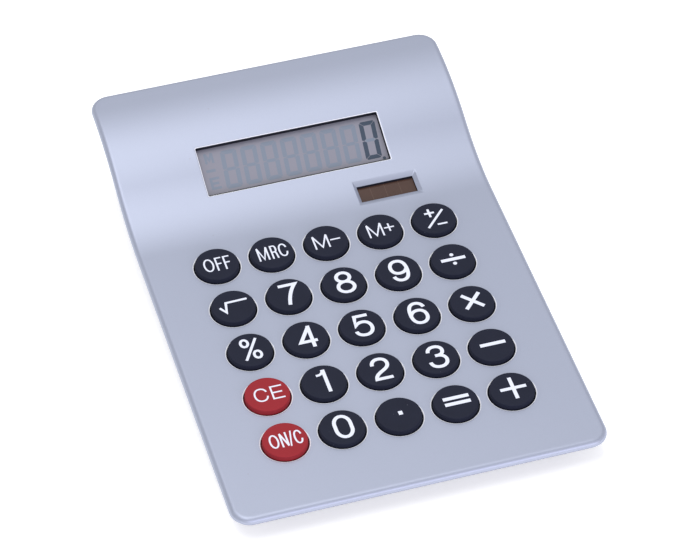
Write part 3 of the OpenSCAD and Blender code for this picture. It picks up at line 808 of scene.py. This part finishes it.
def makeEnvelope():
    bm = bmesh.new()
    corner = deck["corner"]
    inset, radius = tray["rimInset"], corner - tray["rimInset"]
    rings = [surfaceLoop(outlineRing(inset, radius), tray["overlap"])]
    steps = tray["roundSteps"]
    for i in range(steps + 1):
        turn = math.pi / 2 * i / steps
        inward = inset + tray["rimSoft"] * (1 - math.cos(turn))
        down = deck["skin"] + (tray["rimEnd"] - deck["skin"]) * math.sin(turn)
        rings.append(surfaceLoop(outlineRing(inward, corner - inward), down))
    addRings(bm, rings)
    addRegion(bm, lambda x, y: deckPoint(x, y, tray["overlap"]), outlineRing(inset, radius), [], [],
              rowLines(halfWidth - inset))
    inward = inset + tray["rimSoft"]
    wall, bend = tray["wallInset"], tray["wallRadius"]
    wallLoop = outlineRing(wall, bend)
    clear = halfWidth - wall + 0.5
    addRegion(bm, lambda x, y: deckPoint(x, y, tray["rimEnd"]), outlineRing(inward, corner - inward),
              [wallLoop], [], rowLines(halfWidth - inward, [(-clear, clear, 0, deck["length"] - wall + 0.5)]))
    rings = [surfaceLoop(wallLoop, tray["rimEnd"])]
    for i in range(steps + 1):
        turn = math.pi / 2 * i / steps
        back = tray["footing"] * (1 - math.cos(turn))
        z = tray["floor"] + tray["footing"] * (1 - math.sin(turn))
        loop = stretchedRing(wallLoop, back)
        rings.append([toWorld(x, y, heightFor(y, z)) for x, y in loop])
    addRings(bm, rings)
    bm.faces.new([bm.verts.new(p) for p in rings[-1]])
    closeUp(bm)
    return meshObject("envelope", bm)


def stretchedRing(loop, inward):
    # a loop drawn in toward its middle by the same distance on every side
    low, high = min(x for x, y in loop), max(x for x, y in loop)
    front, rear = min(y for x, y in loop), max(y for x, y in loop)
    box = low, high, front, rear
    return stretched(loop, box, grownBox(box, -inward))


def booleanPiece(obj, tool, operation):
    modifier = obj.modifiers.new("cut", "BOOLEAN")
    modifier.operation = operation
    modifier.solver = "EXACT"
    modifier.object = tool
    applyModifiers(obj)
    bpy.data.objects.remove(tool)


bottomShell = mergedCopy("bottom_case", "bottomShell")
booleanPiece(bottomShell, makeEnvelope(), "INTERSECT")
smoothByAngle(bottomShell.data, 32)
finishPiece(bottomShell, "case_underside", caseBody, ["bottom_case"])
print("bottom shell", len(bottomShell.data.polygons))

# ---------- key caps ----------
cap = {
    "radius": 7.8,
    "height": 1.8,
    "edge": 0.5,
    "edgeSteps": 8,
    "segments": 96,
    "profile": [(0, -3.4), (2.4, -3.4), (2.6, -3.2), (2.6, -2.9),
                (9.1, -2.9), (9.2, -2.8), (9.2, -2.1), (7.8, -2.1)],
}


def capProfile():
    r, h, e = cap["radius"], cap["height"], cap["edge"]
    rounded = arc(r - e, h - e, e, e, 0, 90, cap["edgeSteps"])
    return cap["profile"] + rounded + [(r - e - 0.5, h), (r * 0.5, h), (0, h)]


def lathe(bm, profile, place, segments):
    # turns a profile of radius and height; the first and last points are on the axis
    rings = [[place(*p, h) for p in circleLoop(0, 0, r, segments)] for r, h in profile[1:-1]]
    loops = addRings(bm, rings)
    for loop, (r, h) in ((loops[0], profile[0]), (loops[-1], profile[-1])):
        middle = bm.verts.new(place(0, 0, h))
        for i in range(segments):
            bm.faces.new((loop[i], loop[(i + 1) % segments], middle))


caps = {}
for part in frame["record"]["subparts"]:
    node = part["node"]
    if not node.startswith("key_") or node == "key_mat":
        continue
    x0, y0 = keyCentre(node)
    bm = bmesh.new()
    lathe(bm, capProfile(), lambda x, y, h: toWorld(x0 + x, y0 + y, h), cap["segments"])
    closeUp(bm)
    caps[node] = x0, y0
    finishPiece(meshObject(node + "Cap", bm, 32), part["material_slot"], node + "_cap",
                [node])
print("key caps", len(caps))

# ---------- legends: each stroke is a width and a path; a pair is a line, six numbers a curve ----------
legendLook = {"proud": 0.02, "sunk": 0.08, "shift": 0.35, "curveSteps": 14}
digitStroke = 1.3
sixPaths = [[(2.65, 2.5), (2.4, 3.9, 1.4, 4.75, 0.1, 4.75), (-1.9, 4.75, -2.8, 2.9, -2.8, -0.4),
             (-2.8, -3.2, -1.8, -4.75, 0.1, -4.75)],
            [(0.1, -4.75), (1.8, -4.75, 2.8, -3.4, 2.8, -1.7), (2.8, 0.1, 1.7, 1.3, 0.2, 1.3),
             (-1.3, 1.3, -2.4, 0.4, -2.8, -1.0)]]


def turnedPaths(paths):
    return [[tuple(-v for v in move) for move in path] for path in paths]


digits = {
    "0": [[(0, 4.7), (-1.52, 4.7, -2.75, 3.13, -2.75, 1.2), (-2.75, -1.2),
           (-2.75, -3.13, -1.52, -4.7, 0, -4.7)],
          [(0, -4.7), (1.52, -4.7, 2.75, -3.13, 2.75, -1.2), (2.75, 1.2), (2.75, 3.13, 1.52, 4.7, 0, 4.7)]],
    "2": [[(-2.65, 2.0), (-2.65, 3.6, -1.6, 4.7, 0, 4.7), (1.6, 4.7, 2.65, 3.7, 2.65, 2.2),
           (2.65, 0.9, 1.9, 0.1, 0.6, -0.7), (-1.2, -1.8, -2.6, -2.6, -2.75, -4.45), (3.0, -4.45)]],
    "3": [[(-2.6, 2.4), (-2.5, 3.8, -1.5, 4.7, 0, 4.7), (1.5, 4.7, 2.5, 3.8, 2.5, 2.6),
           (2.5, 1.2, 1.5, 0.5, 0.3, 0.5), (-0.6, 0.5)],
          [(0.1, 0.5), (1.9, 0.5, 2.9, -0.6, 2.9, -2.0), (2.9, -3.7, 1.6, -4.75, 0, -4.75),
           (-1.8, -4.75, -2.9, -3.7, -2.95, -2.1)]],
    "4": [[(1.45, -5.05), (1.45, 5.2)], [(3.2, -2.1), (-2.75, -2.1), (1.5, 4.65)]],
    "5": [[(2.7, 4.45), (-1.9, 4.45), (-2.5, 0.2), (-1.9, 1.0, -1.0, 1.5, 0.1, 1.5),
           (1.8, 1.5, 2.9, 0.2, 2.9, -1.6), (2.9, -3.4, 1.7, -4.75, -0.1, -4.75),
           (-1.7, -4.75, -2.8, -3.9, -2.95, -2.5)]],
    "6": sixPaths,
    "7": [[(-3.1, 4.45), (2.95, 4.45), (0.9, 2.0, -0.5, -1.2, -1.15, -5.05)]],
    "9": turnedPaths(sixPaths),
}
strokes = {
    "key_1": [(1.25, [(0.96, -5.07), (0.96, 5.4)]),
              (0.95, [(-1.95, 3.2), (-1.3, 3.2), (-0.25, 3.2, 0.6, 4.05, 0.6, 5.1), (0.6, 5.4)])],
    "key_plus": [(1.3, [(-4.05, 0.3), (5.15, 0.3)]), (1.3, [(0.55, -4.65), (0.55, 5.25)])],
    "key_minus": [(1.45, [(-4.1, 0.35), (5.0, 0.35)])],
    "key_multiply": [(1.35, [(-2.9, -3.2), (3.5, 3.6)]), (1.35, [(-2.9, 3.6), (3.5, -3.2)])],
    "key_divide": [(1.4, [(-4.3, 0.0), (4.6, 0.0)])],
    "key_equals": [(1.45, [(-4.05, 1.77), (5.05, 1.77)]), (1.45, [(-4.05, -0.8), (5.05, -0.8)])],
    "key_point": [(1.45, [(0.57, -0.45), (0.57, 1.25)])],
    "key_root": [(0.9, [(-4.8, 0.3), (-3.0, -2.4), (-2.2, 2.15), (5.4, 2.35)])],
    "key_percent": [(0.95, [(-2.5, -4.8), (3.1, 4.8)])],
    "key_sign": [(0.85, [(-2.85, 2.75), (0.85, 2.75)]), (0.85, [(-1.0, 0.7), (-1.0, 4.8)]),
                 (0.85, [(-3.3, -4.45), (4.1, 3.5)]), (0.75, [(0.3, -3.5), (3.9, -3.5)])],
}
for digit, paths in digits.items():
    strokes["key_" + digit] = [(digitStroke, path) for path in paths]
ovals = {
    "key_8": [(0, 2.55, 2.35, 2.2, 1.3), (0, -2.2, 2.85, 2.55, 1.3)],
    "key_percent": [(-1.3, 3.2, 1.25, 1.65, 0.95), (2.0, -2.86, 1.25, 1.65, 0.95)],
}
dots = {"key_divide": [(0.15, 2.18, 0.72), (0.15, -2.18, 0.72)]}

# letters on a box one wide and one tall, stretched to their spans
letters = {
    "O": [[(0.5, 1), (0.22, 1, 0, 0.78, 0, 0.5), (0, 0.22, 0.22, 0, 0.5, 0)],
          [(0.5, 0), (0.78, 0, 1, 0.22, 1, 0.5), (1, 0.78, 0.78, 1, 0.5, 1)]],
    "F": [[(0, -0.08), (0, 1), (1.1, 1)], [(0, 0.5), (0.95, 0.5)]],
    "M": [[(0, -0.08), (0, 1.0)], [(0, 1.04), (0.5, 0.02), (1, 1.04)], [(1, 1.0), (1, -0.08)]],
    "R": [[(0, -0.08), (0, 1), (0.55, 1), (0.85, 1, 1, 0.92, 1, 0.74), (1, 0.56, 0.85, 0.48, 0.55, 0.48)],
          [(0.56, 0.48), (0, 0.48)],
          [(0.55, 0.48), (0.8, 0.48, 0.9, 0.38, 0.93, 0.2), (0.96, 0.05, 0.98, 0, 1.05, -0.08)]],
    "C": [[(1.0, 0.70), (0.95, 0.88, 0.78, 1, 0.53, 1), (0.2, 1, 0, 0.8, 0, 0.5),
           (0, 0.2, 0.2, 0, 0.53, 0), (0.8, 0, 0.97, 0.13, 1.02, 0.34)]],
    "E": [[(1.1, 1), (0, 1), (0, 0), (1.12, 0)], [(0, 0.5), (1.0, 0.5)]],
    "N": [[(0, -0.08), (0, 1.0)], [(0, 1.04), (1, -0.04)], [(1, 0.0), (1, 1.08)]],
    "/": [[(0, -0.1), (1, 1.1)]],
    "-": [[(-0.1, 0.5), (1.1, 0.5)]],
    "+": [[(-0.1, 0.5), (1.1, 0.5)]],
}
words = {
    "key_off": (6.4, -0.1, [("O", -4.85, -1.15), ("F", -0.45, 2.0), ("F", 2.5, 5.0)]),
    "key_mrc": (6.4, 0.0, [("M", -5.2, -1.3), ("R", -0.35, 1.95), ("C", 2.5, 5.65)]),
    "key_memory_minus": (6.4, 0.0, [("M", -4.7, 0.85), ("-", 1.45, 5.1)]),
    "key_memory_plus": (6.4, 0.0, [("M", -4.7, 0.85), ("+", 1.45, 5.1)]),
    "key_ce": (6.15, 0.0, [("C", -4.65, 0.15), ("E", 1.35, 5.5)]),
    "key_on": (6.2, 0.0, [("O", -5.45, -2.15), ("N", -1.6, 0.95), ("/", 1.25, 2.75), ("C", 3.15, 6.0)]),
}
letterStroke = 0.60


def pathPoints(path):
    points = [path[0]]
    for move in path[1:]:
        if len(move) == 2:
            points.append(move)
            continue
        start, steps = points[-1], legendLook["curveSteps"]
        for i in range(1, steps + 1):
            t = i / steps
            weights = (1 - t) ** 3, 3 * t * (1 - t) ** 2, 3 * t * t * (1 - t), t ** 3
            corners = start, move[0:2], move[2:4], move[4:6]
            points.append(tuple(sum(w * p[axis] for w, p in zip(weights, corners)) for axis in (0, 1)))
    return points


def strokeShape(points, width):
    # both sides of a path, mitred at its corners
    left, right = [], []
    last = len(points) - 1
    for i, (x, y) in enumerate(points):
        before = Vector(points[i]) - Vector(points[i - 1]) if i > 0 else None
        after = Vector(points[i + 1]) - Vector(points[i]) if i < last else None
        before = (before or after).normalized()
        after = (after or before).normalized()
        across = Vector((-(before.y + after.y), before.x + after.x))
        across.normalize()
        fit = max(0.45, across.dot(Vector((-after.y, after.x))))
        reach = width / 2 / fit
        left.append((x + across.x * reach, y + across.y * reach))
        right.append((x - across.x * reach, y - across.y * reach))
    return left + right[::-1]


def ovalShapes(x, y, rx, ry, width):
    halves = []
    for start in (90, 270):
        path = arc(x, y, rx, ry, start, start + 180, 28)
        halves.append(strokeShape(path, width))
    return halves


def letterShapes(letter, low, high, height, middle):
    inset = letterStroke / 2
    shapes = []
    x0, x1 = low + inset, high - inset
    y0, y1 = middle - height / 2 + inset, middle + height / 2 - inset
    if letter == "/":
        x0, x1 = low + 0.15, high - 0.15
    if letter == "+":
        centre = (low + high) / 2
        y0, y1 = middle - 1.8, middle + 2.1
        shapes.append(strokeShape([(centre, y0), (centre, y1)], letterStroke))
    for path in letters[letter]:
        moved = [tuple(x0 + (x1 - x0) * v if k % 2 == 0 else y0 + (y1 - y0) * v for k, v in enumerate(move))
                 for move in path]
        shapes.append(strokeShape(pathPoints(moved), letterStroke * (0.85 if letter == "/" else 1)))
    return shapes


def legendShapes(node):
    shapes = []
    shift = legendLook["shift"] if node[4:] in digits or node == "key_8" else 0
    for width, path in strokes.get(node, []):
        shapes.append(strokeShape([(x + shift, y) for x, y in pathPoints(path)], width))
    for x, y, rx, ry, width in ovals.get(node, []):
        shapes += ovalShapes(x + shift, y, rx, ry, width)
    for x, y, r in dots.get(node, []):
        shapes.append(circleLoop(x, y, r, 24))
    if node in words:
        height, middle, spans = words[node]
        for letter, low, high in spans:
            shapes += letterShapes(letter, low, high, height, middle)
    return shapes


for node, (x0, y0) in caps.items():
    bm = bmesh.new()
    addPlate(bm, legendShapes(node), lambda x, y, h: toWorld(x0 + x, y0 + y, h),
             cap["height"] - legendLook["sunk"], cap["height"] + legendLook["proud"])
    finishPiece(meshObject(node + "Legend", bm), "legend_white", node + "_cap")
print("legends done")

# ---------- display ----------
segment = {
    "width": 6.0,
    "height": 15.3,
    "thick": 1.62,
    "middle": 1.25,
    "gap": 0.16,
    "lean": math.tan(math.radians(4.3)),
    "pitch": 7.47,
    "activeX": 29.4,
    "baseS": 0.3,
    "ghosts": 7,
    "film": 0.012,
    "sunk": 0.03,
    "chamfer": 0.7,
}
marks = {
    "memory": [(0.85, [(-31.1, 3.9), (-31.1, 8.0)]), (0.85, [(-31.1, 8.0), (-29.85, 5.2), (-28.6, 8.0)]),
               (0.85, [(-28.6, 8.0), (-28.6, 3.9)])],
    "minus": [(1.1, [(-32.0, 1.0), (-28.6, 1.0)])],
    "error": [(0.95, [(-28.1, -2.2), (-31.3, -2.2), (-31.3, -6.1), (-28.1, -6.1)]),
              (0.95, [(-31.3, -4.15), (-28.6, -4.15)])],
}
point = {"x": 32.45, "s": -7.8, "radius": 0.6}


def segmentShapes(which):
    # seven bars of a digit about its middle, with mitred ends and small gaps
    w, h, t, g = segment["width"] / 2, segment["height"] / 2, segment["thick"], segment["gap"] / 2
    m, k = segment["middle"] / 2, segment["chamfer"]
    cutX, cutY, tip = k * 0.35, k * 0.65, t * 0.55
    top = [(-w + k + g, h), (w - k - g, h), (w - g - cutX, h - cutY + g),
           (w - t - g, h - t), (-w + t + g, h - t), (-w + g + cutX, h - cutY + g)]
    side = [(w, h - k - g), (w, g * 2 + 0.2), (w - t * 0.5, g),
            (w - t, m + g), (w - t, h - t - g), (w - cutX, h - cutY - g)]
    bar = [(-w + tip + g, 0), (-w + t + g, m), (w - t - g, m),
           (w - tip - g, 0), (w - t - g, -m), (-w + t + g, -m)]
    shapes = {
        "a": top,
        "b": side,
        "c": [(x, -y) for x, y in side],
        "d": [(x, -y) for x, y in top],
        "e": [(-x, -y) for x, y in side],
        "f": [(-x, y) for x, y in side],
        "g": bar,
    }
    lean = segment["lean"]
    return [[(x + y * lean, y) for x, y in shapes[name]] for name in which]


def filmPiece(name, shapes, material):
    bm = bmesh.new()
    base = -display["face"]
    addPlate(bm, shapes, fromDisplay, base - segment["sunk"], base + segment["film"])
    finishPiece(meshObject(name, bm), material, caseBody)


def newInput(tree, label, kind):
    return tree.interface.new_socket(label, in_out="INPUT", socket_type=kind)


def makeRepeatTree():
    # one copy of the template on every point, turned together, made real and given its material
    tree = bpy.data.node_groups.new("repeatOnPoints", "GeometryNodeTree")
    newInput(tree, "Geometry", "NodeSocketGeometry")
    newInput(tree, "Template", "NodeSocketObject")
    newInput(tree, "Turn", "NodeSocketVector")
    newInput(tree, "Size", "NodeSocketFloat")
    newInput(tree, "Material", "NodeSocketMaterial")
    tree.interface.new_socket("Geometry", in_out="OUTPUT", socket_type="NodeSocketGeometry")
    given, result = tree.nodes.new("NodeGroupInput"), tree.nodes.new("NodeGroupOutput")
    info = tree.nodes.new("GeometryNodeObjectInfo")
    turn = tree.nodes.new("FunctionNodeEulerToRotation")
    spread = tree.nodes.new("GeometryNodeInstanceOnPoints")
    real = tree.nodes.new("GeometryNodeRealizeInstances")
    paint = tree.nodes.new("GeometryNodeSetMaterial")
    links = tree.links
    links.new(given.outputs["Geometry"], spread.inputs["Points"])
    links.new(given.outputs["Template"], info.inputs["Object"])
    links.new(info.outputs["Geometry"], spread.inputs["Instance"])
    links.new(given.outputs["Turn"], turn.inputs["Euler"])
    links.new(turn.outputs["Rotation"], spread.inputs["Rotation"])
    links.new(given.outputs["Size"], spread.inputs["Scale"])
    links.new(spread.outputs["Instances"], real.inputs["Geometry"])
    links.new(real.outputs["Geometry"], paint.inputs["Geometry"])
    links.new(given.outputs["Material"], paint.inputs["Material"])
    links.new(paint.outputs["Geometry"], result.inputs["Geometry"])
    return tree


repeatTree = makeRepeatTree()


def repeatPiece(name, template, centres, material, turn=(0, 0, 0), smoothAngle=None):
    mesh = bpy.data.meshes.new(name)
    mesh.from_pydata([tuple(p) for p in centres], [], [])
    obj = bpy.data.objects.new(name, mesh)
    bpy.context.scene.collection.objects.link(obj)
    modifier = obj.modifiers.new("repeat", "NODES")
    values = {"Template": template, "Turn": turn, "Size": 1.0, "Material": materials[material]}
    modifier.node_group = repeatTree
    for item in repeatTree.interface.items_tree:
        if item.in_out == "INPUT" and item.name in values:
            modifier[item.identifier] = values[item.name]
    applyModifiers(obj)
    bpy.data.objects.remove(template)
    if smoothAngle is not None:
        smoothByAngle(obj.data, smoothAngle)
    return obj


def flatTemplate(name, shapes, low, high):
    bm = bmesh.new()
    addPlate(bm, shapes, lambda x, y, h: Vector((x, y, h)) * mm, low, high)
    return meshObject(name, bm)


bm = bmesh.new()
filmOutline = roundRect(0, display["filmShift"], display["filmWidth"], display["filmLength"], 0.3)
addPlate(bm, [filmOutline], fromDisplay, -display["face"] - display["film"], -display["face"])
finishPiece(meshObject("polariserFilm", bm), "polariser", caseBody, ["lcd_polariser"])
displayTurn = deck["tilt"] + display["angle"], 0, 0
ghostMiddles = [fromDisplay(segment["activeX"] - segment["pitch"] * i, segment["baseS"], -display["face"])
                for i in range(1, segment["ghosts"] + 1)]
digitTemplate = flatTemplate("digitTemplate", segmentShapes("abcdefg"), -segment["sunk"], segment["film"])
ghosts = repeatPiece("ghostDigits", digitTemplate, ghostMiddles, "segment_off", displayTurn)
finishPiece(ghosts, None, caseBody)


def movedShapes(shapes, dx, dy):
    return [[(x + dx, y + dy) for x, y in shape] for shape in shapes]


activeAt = segment["activeX"], segment["baseS"]
filmPiece("activeDigit", movedShapes(segmentShapes("abcdef"), *activeAt), "segment_on")
filmPiece("activeMiddle", movedShapes(segmentShapes("g"), *activeAt), "segment_off")
filmPiece("activePoint", [circleLoop(point["x"], point["s"], point["radius"], 24)], "segment_on")
filmPiece("sideMarks", [strokeShape(path, width) for mark in marks.values() for width, path in mark],
          "segment_off")
print("display done")

# ---------- feet and screws ----------
foot = {
    "profile": [(0, 0), (4.3, 0), (4.62, 0.06), (4.88, 0.25), (5.0, 0.55), (5.0, 1.6), (0, 1.6)],
    "segments": 64,
}
screw = {
    "head": 2.3,
    "rise": 1.6,
    "shank": 1.1,
    "length": 5.0,
    "recess": 2.5,
    "slotWidth": 0.5,
    "slotDepth": 0.9,
    "segments": 40,
}


def centredProfile(profile):
    low, high = min(h for r, h in profile), max(h for r, h in profile)
    return [(r, h - (low + high) / 2) for r, h in profile]


def latheTemplate(name, profile, segments):
    bm = bmesh.new()
    lathe(bm, centredProfile(profile), lambda x, y, h: Vector((x, y, h)) * mm, segments)
    closeUp(bm)
    return meshObject(name, bm)


def screwTemplate(name):
    # pan head underneath, shank above, with a cross recess in the head
    head, rise, shank = screw["head"], screw["rise"], screw["shank"]
    top = screw["length"]
    profile = [(0, -rise), (head * 0.55, -rise), (head * 0.82, -rise * 0.88), (head * 0.95, -rise * 0.66),
               (head, -rise * 0.4), (head, 0), (shank, 0), (shank, top - 0.6), (shank * 0.3, top), (0, top)]
    face = -rise - (top - rise) / 2
    obj = latheTemplate(name, profile, screw["segments"])
    for width, length in ((screw["recess"], screw["slotWidth"]), (screw["slotWidth"], screw["recess"])):
        slot = [roundRect(0, 0, width, length, 0.08, 2)]
        booleanPiece(obj, flatTemplate("cutter", slot, face - 0.5, face + screw["slotDepth"]), "DIFFERENCE")
    return obj


feet = repeatPiece("feetPads", latheTemplate("footTemplate", foot["profile"], foot["segments"]),
                   islandCentres("feet"), "foot_rubber", smoothAngle=32)
finishPiece(feet, None, caseBody, ["feet"])
screws = repeatPiece("caseScrewHeads", screwTemplate("screwTemplate"), islandCentres("case_screws"),
                     "screw_steel", (deck["tilt"], 0, 0), 32)
finishPiece(screws, None, caseBody, ["case_screws"])
print("feet and screws done")

# ---------- battery cover ----------
coverLook = {"bevel": 0.22, "segments": 2, "sharp": 40}
coverPlate = mergedCopy("battery_cover", "coverPlate")
bm = bmesh.new()
bm.from_mesh(coverPlate.data)
bmesh.ops.dissolve_limit(bm, angle_limit=math.radians(1), verts=bm.verts, edges=bm.edges)
bm.to_mesh(coverPlate.data)
bm.free()
bevel = coverPlate.modifiers.new("soften", "BEVEL")
bevel.width = coverLook["bevel"] * mm
bevel.segments = coverLook["segments"]
bevel.limit_method = "ANGLE"
bevel.angle_limit = math.radians(coverLook["sharp"])
bevel.use_clamp_overlap = True
applyModifiers(coverPlate)
smoothByAngle(coverPlate.data, coverLook["sharp"])
finishPiece(coverPlate, "case_underside", doorBody, ["battery_cover"])
print("battery cover done")

# ---------- floor, light and camera ----------
studio = {
    "floorColour": (0.93, 0.93, 0.93),
    "floorSize": 6.0,
    "floorDrop": 0.0002,
    "glow": 0.45,
    "world": 0.62,
    "worldColour": (0.97, 0.98, 1.0, 1),
    "aim": (0, 0, 0.02),
    "keyPower": 12.8,
    "keySize": (1.7, 0.8),
    "keyPlace": (-0.18, 0.10, 1.5),
    "keyColour": (1, 1, 1),
    "fillPower": 10.0,
    "fillSize": (1.8, 0.5),
    "fillPlace": (0.25, -1.4, 0.42),
    "fillColour": (0.86, 0.84, 1.0),
    "camera": (-0.2402, -0.8597, 0.8276),
    "turn": (47.635, 0.942, -16.702),
    "lens": 176.94,
}


def makeFloor():
    half = studio["floorSize"] / 2
    bm = bmesh.new()
    corners = ((-1, -1), (1, -1), (1, 1), (-1, 1))
    bm.faces.new([bm.verts.new((x * half, y * half, -studio["floorDrop"])) for x, y in corners])
    floor = meshObject("studioFloor", bm)
    material, tree, shader, coords = newMaterial("floorPaint")
    grain = groupNode(tree, grainGroup, coords, Base=(*studio["floorColour"], 1), Grain_Scale=60.0,
                      Grain_Amount=0.004, Cloud_Scale=3.0, Cloud_Amount=0.004)
    tree.links.new(grain.outputs["Colour"], shader.inputs["Base Color"])
    shader.inputs["Roughness"].default_value = 0.9
    shader.inputs["Specular IOR Level"].default_value = 0.1
    shader.inputs["Emission Color"].default_value = (1, 1, 1, 1)
    shader.inputs["Emission Strength"].default_value = studio["glow"]
    # seen from below the floor is clear, so the underside of the calculator shows
    back = tree.nodes.new("ShaderNodeNewGeometry")
    clear = tree.nodes.new("ShaderNodeBsdfTransparent")
    mixed = tree.nodes.new("ShaderNodeMixShader")
    tree.links.new(back.outputs["Backfacing"], mixed.inputs[0])
    tree.links.new(shader.outputs[0], mixed.inputs[1])
    tree.links.new(clear.outputs[0], mixed.inputs[2])
    output = next(node for node in tree.nodes if node.type == "OUTPUT_MATERIAL")
    tree.links.new(mixed.outputs[0], output.inputs["Surface"])
    floor.data.materials.append(material)


def areaLight(name, place, size, power, colour):
    light = bpy.data.lights.new(name, "AREA")
    light.shape = "RECTANGLE"
    light.size, light.size_y = size
    light.energy = power
    light.color = colour
    obj = bpy.data.objects.new(name, light)
    obj.location = place
    obj.rotation_euler = (Vector(studio["aim"]) - Vector(place)).to_track_quat("-Z", "Y").to_euler()
    bpy.context.scene.collection.objects.link(obj)


makeFloor()
areaLight("keyLight", studio["keyPlace"], studio["keySize"], studio["keyPower"], studio["keyColour"])
areaLight("fillLight", studio["fillPlace"], studio["fillSize"], studio["fillPower"], studio["fillColour"])
scene = bpy.context.scene
world = bpy.data.worlds.new("studioWorld")
scene.world = world
world.use_nodes = True
background = world.node_tree.nodes["Background"]
background.inputs["Color"].default_value = studio["worldColour"]
background.inputs["Strength"].default_value = studio["world"]

camera = bpy.data.cameras.new("studioCamera")
camera.lens = studio["lens"]
camera.sensor_fit = "HORIZONTAL"
camera.sensor_width = 36.0
camera.clip_start, camera.clip_end = 0.01, 20.0
cameraObject = bpy.data.objects.new("studioCamera", camera)
cameraObject.location = studio["camera"]
cameraObject.rotation_euler = Euler([math.radians(a) for a in studio["turn"]], "XYZ")
scene.collection.objects.link(cameraObject)
scene.camera = cameraObject
scene.view_settings.view_transform = "Standard"
scene.view_settings.look = "None"
scene.view_settings.exposure = 0.0
scene.view_settings.gamma = 1.0

print("scene ready")
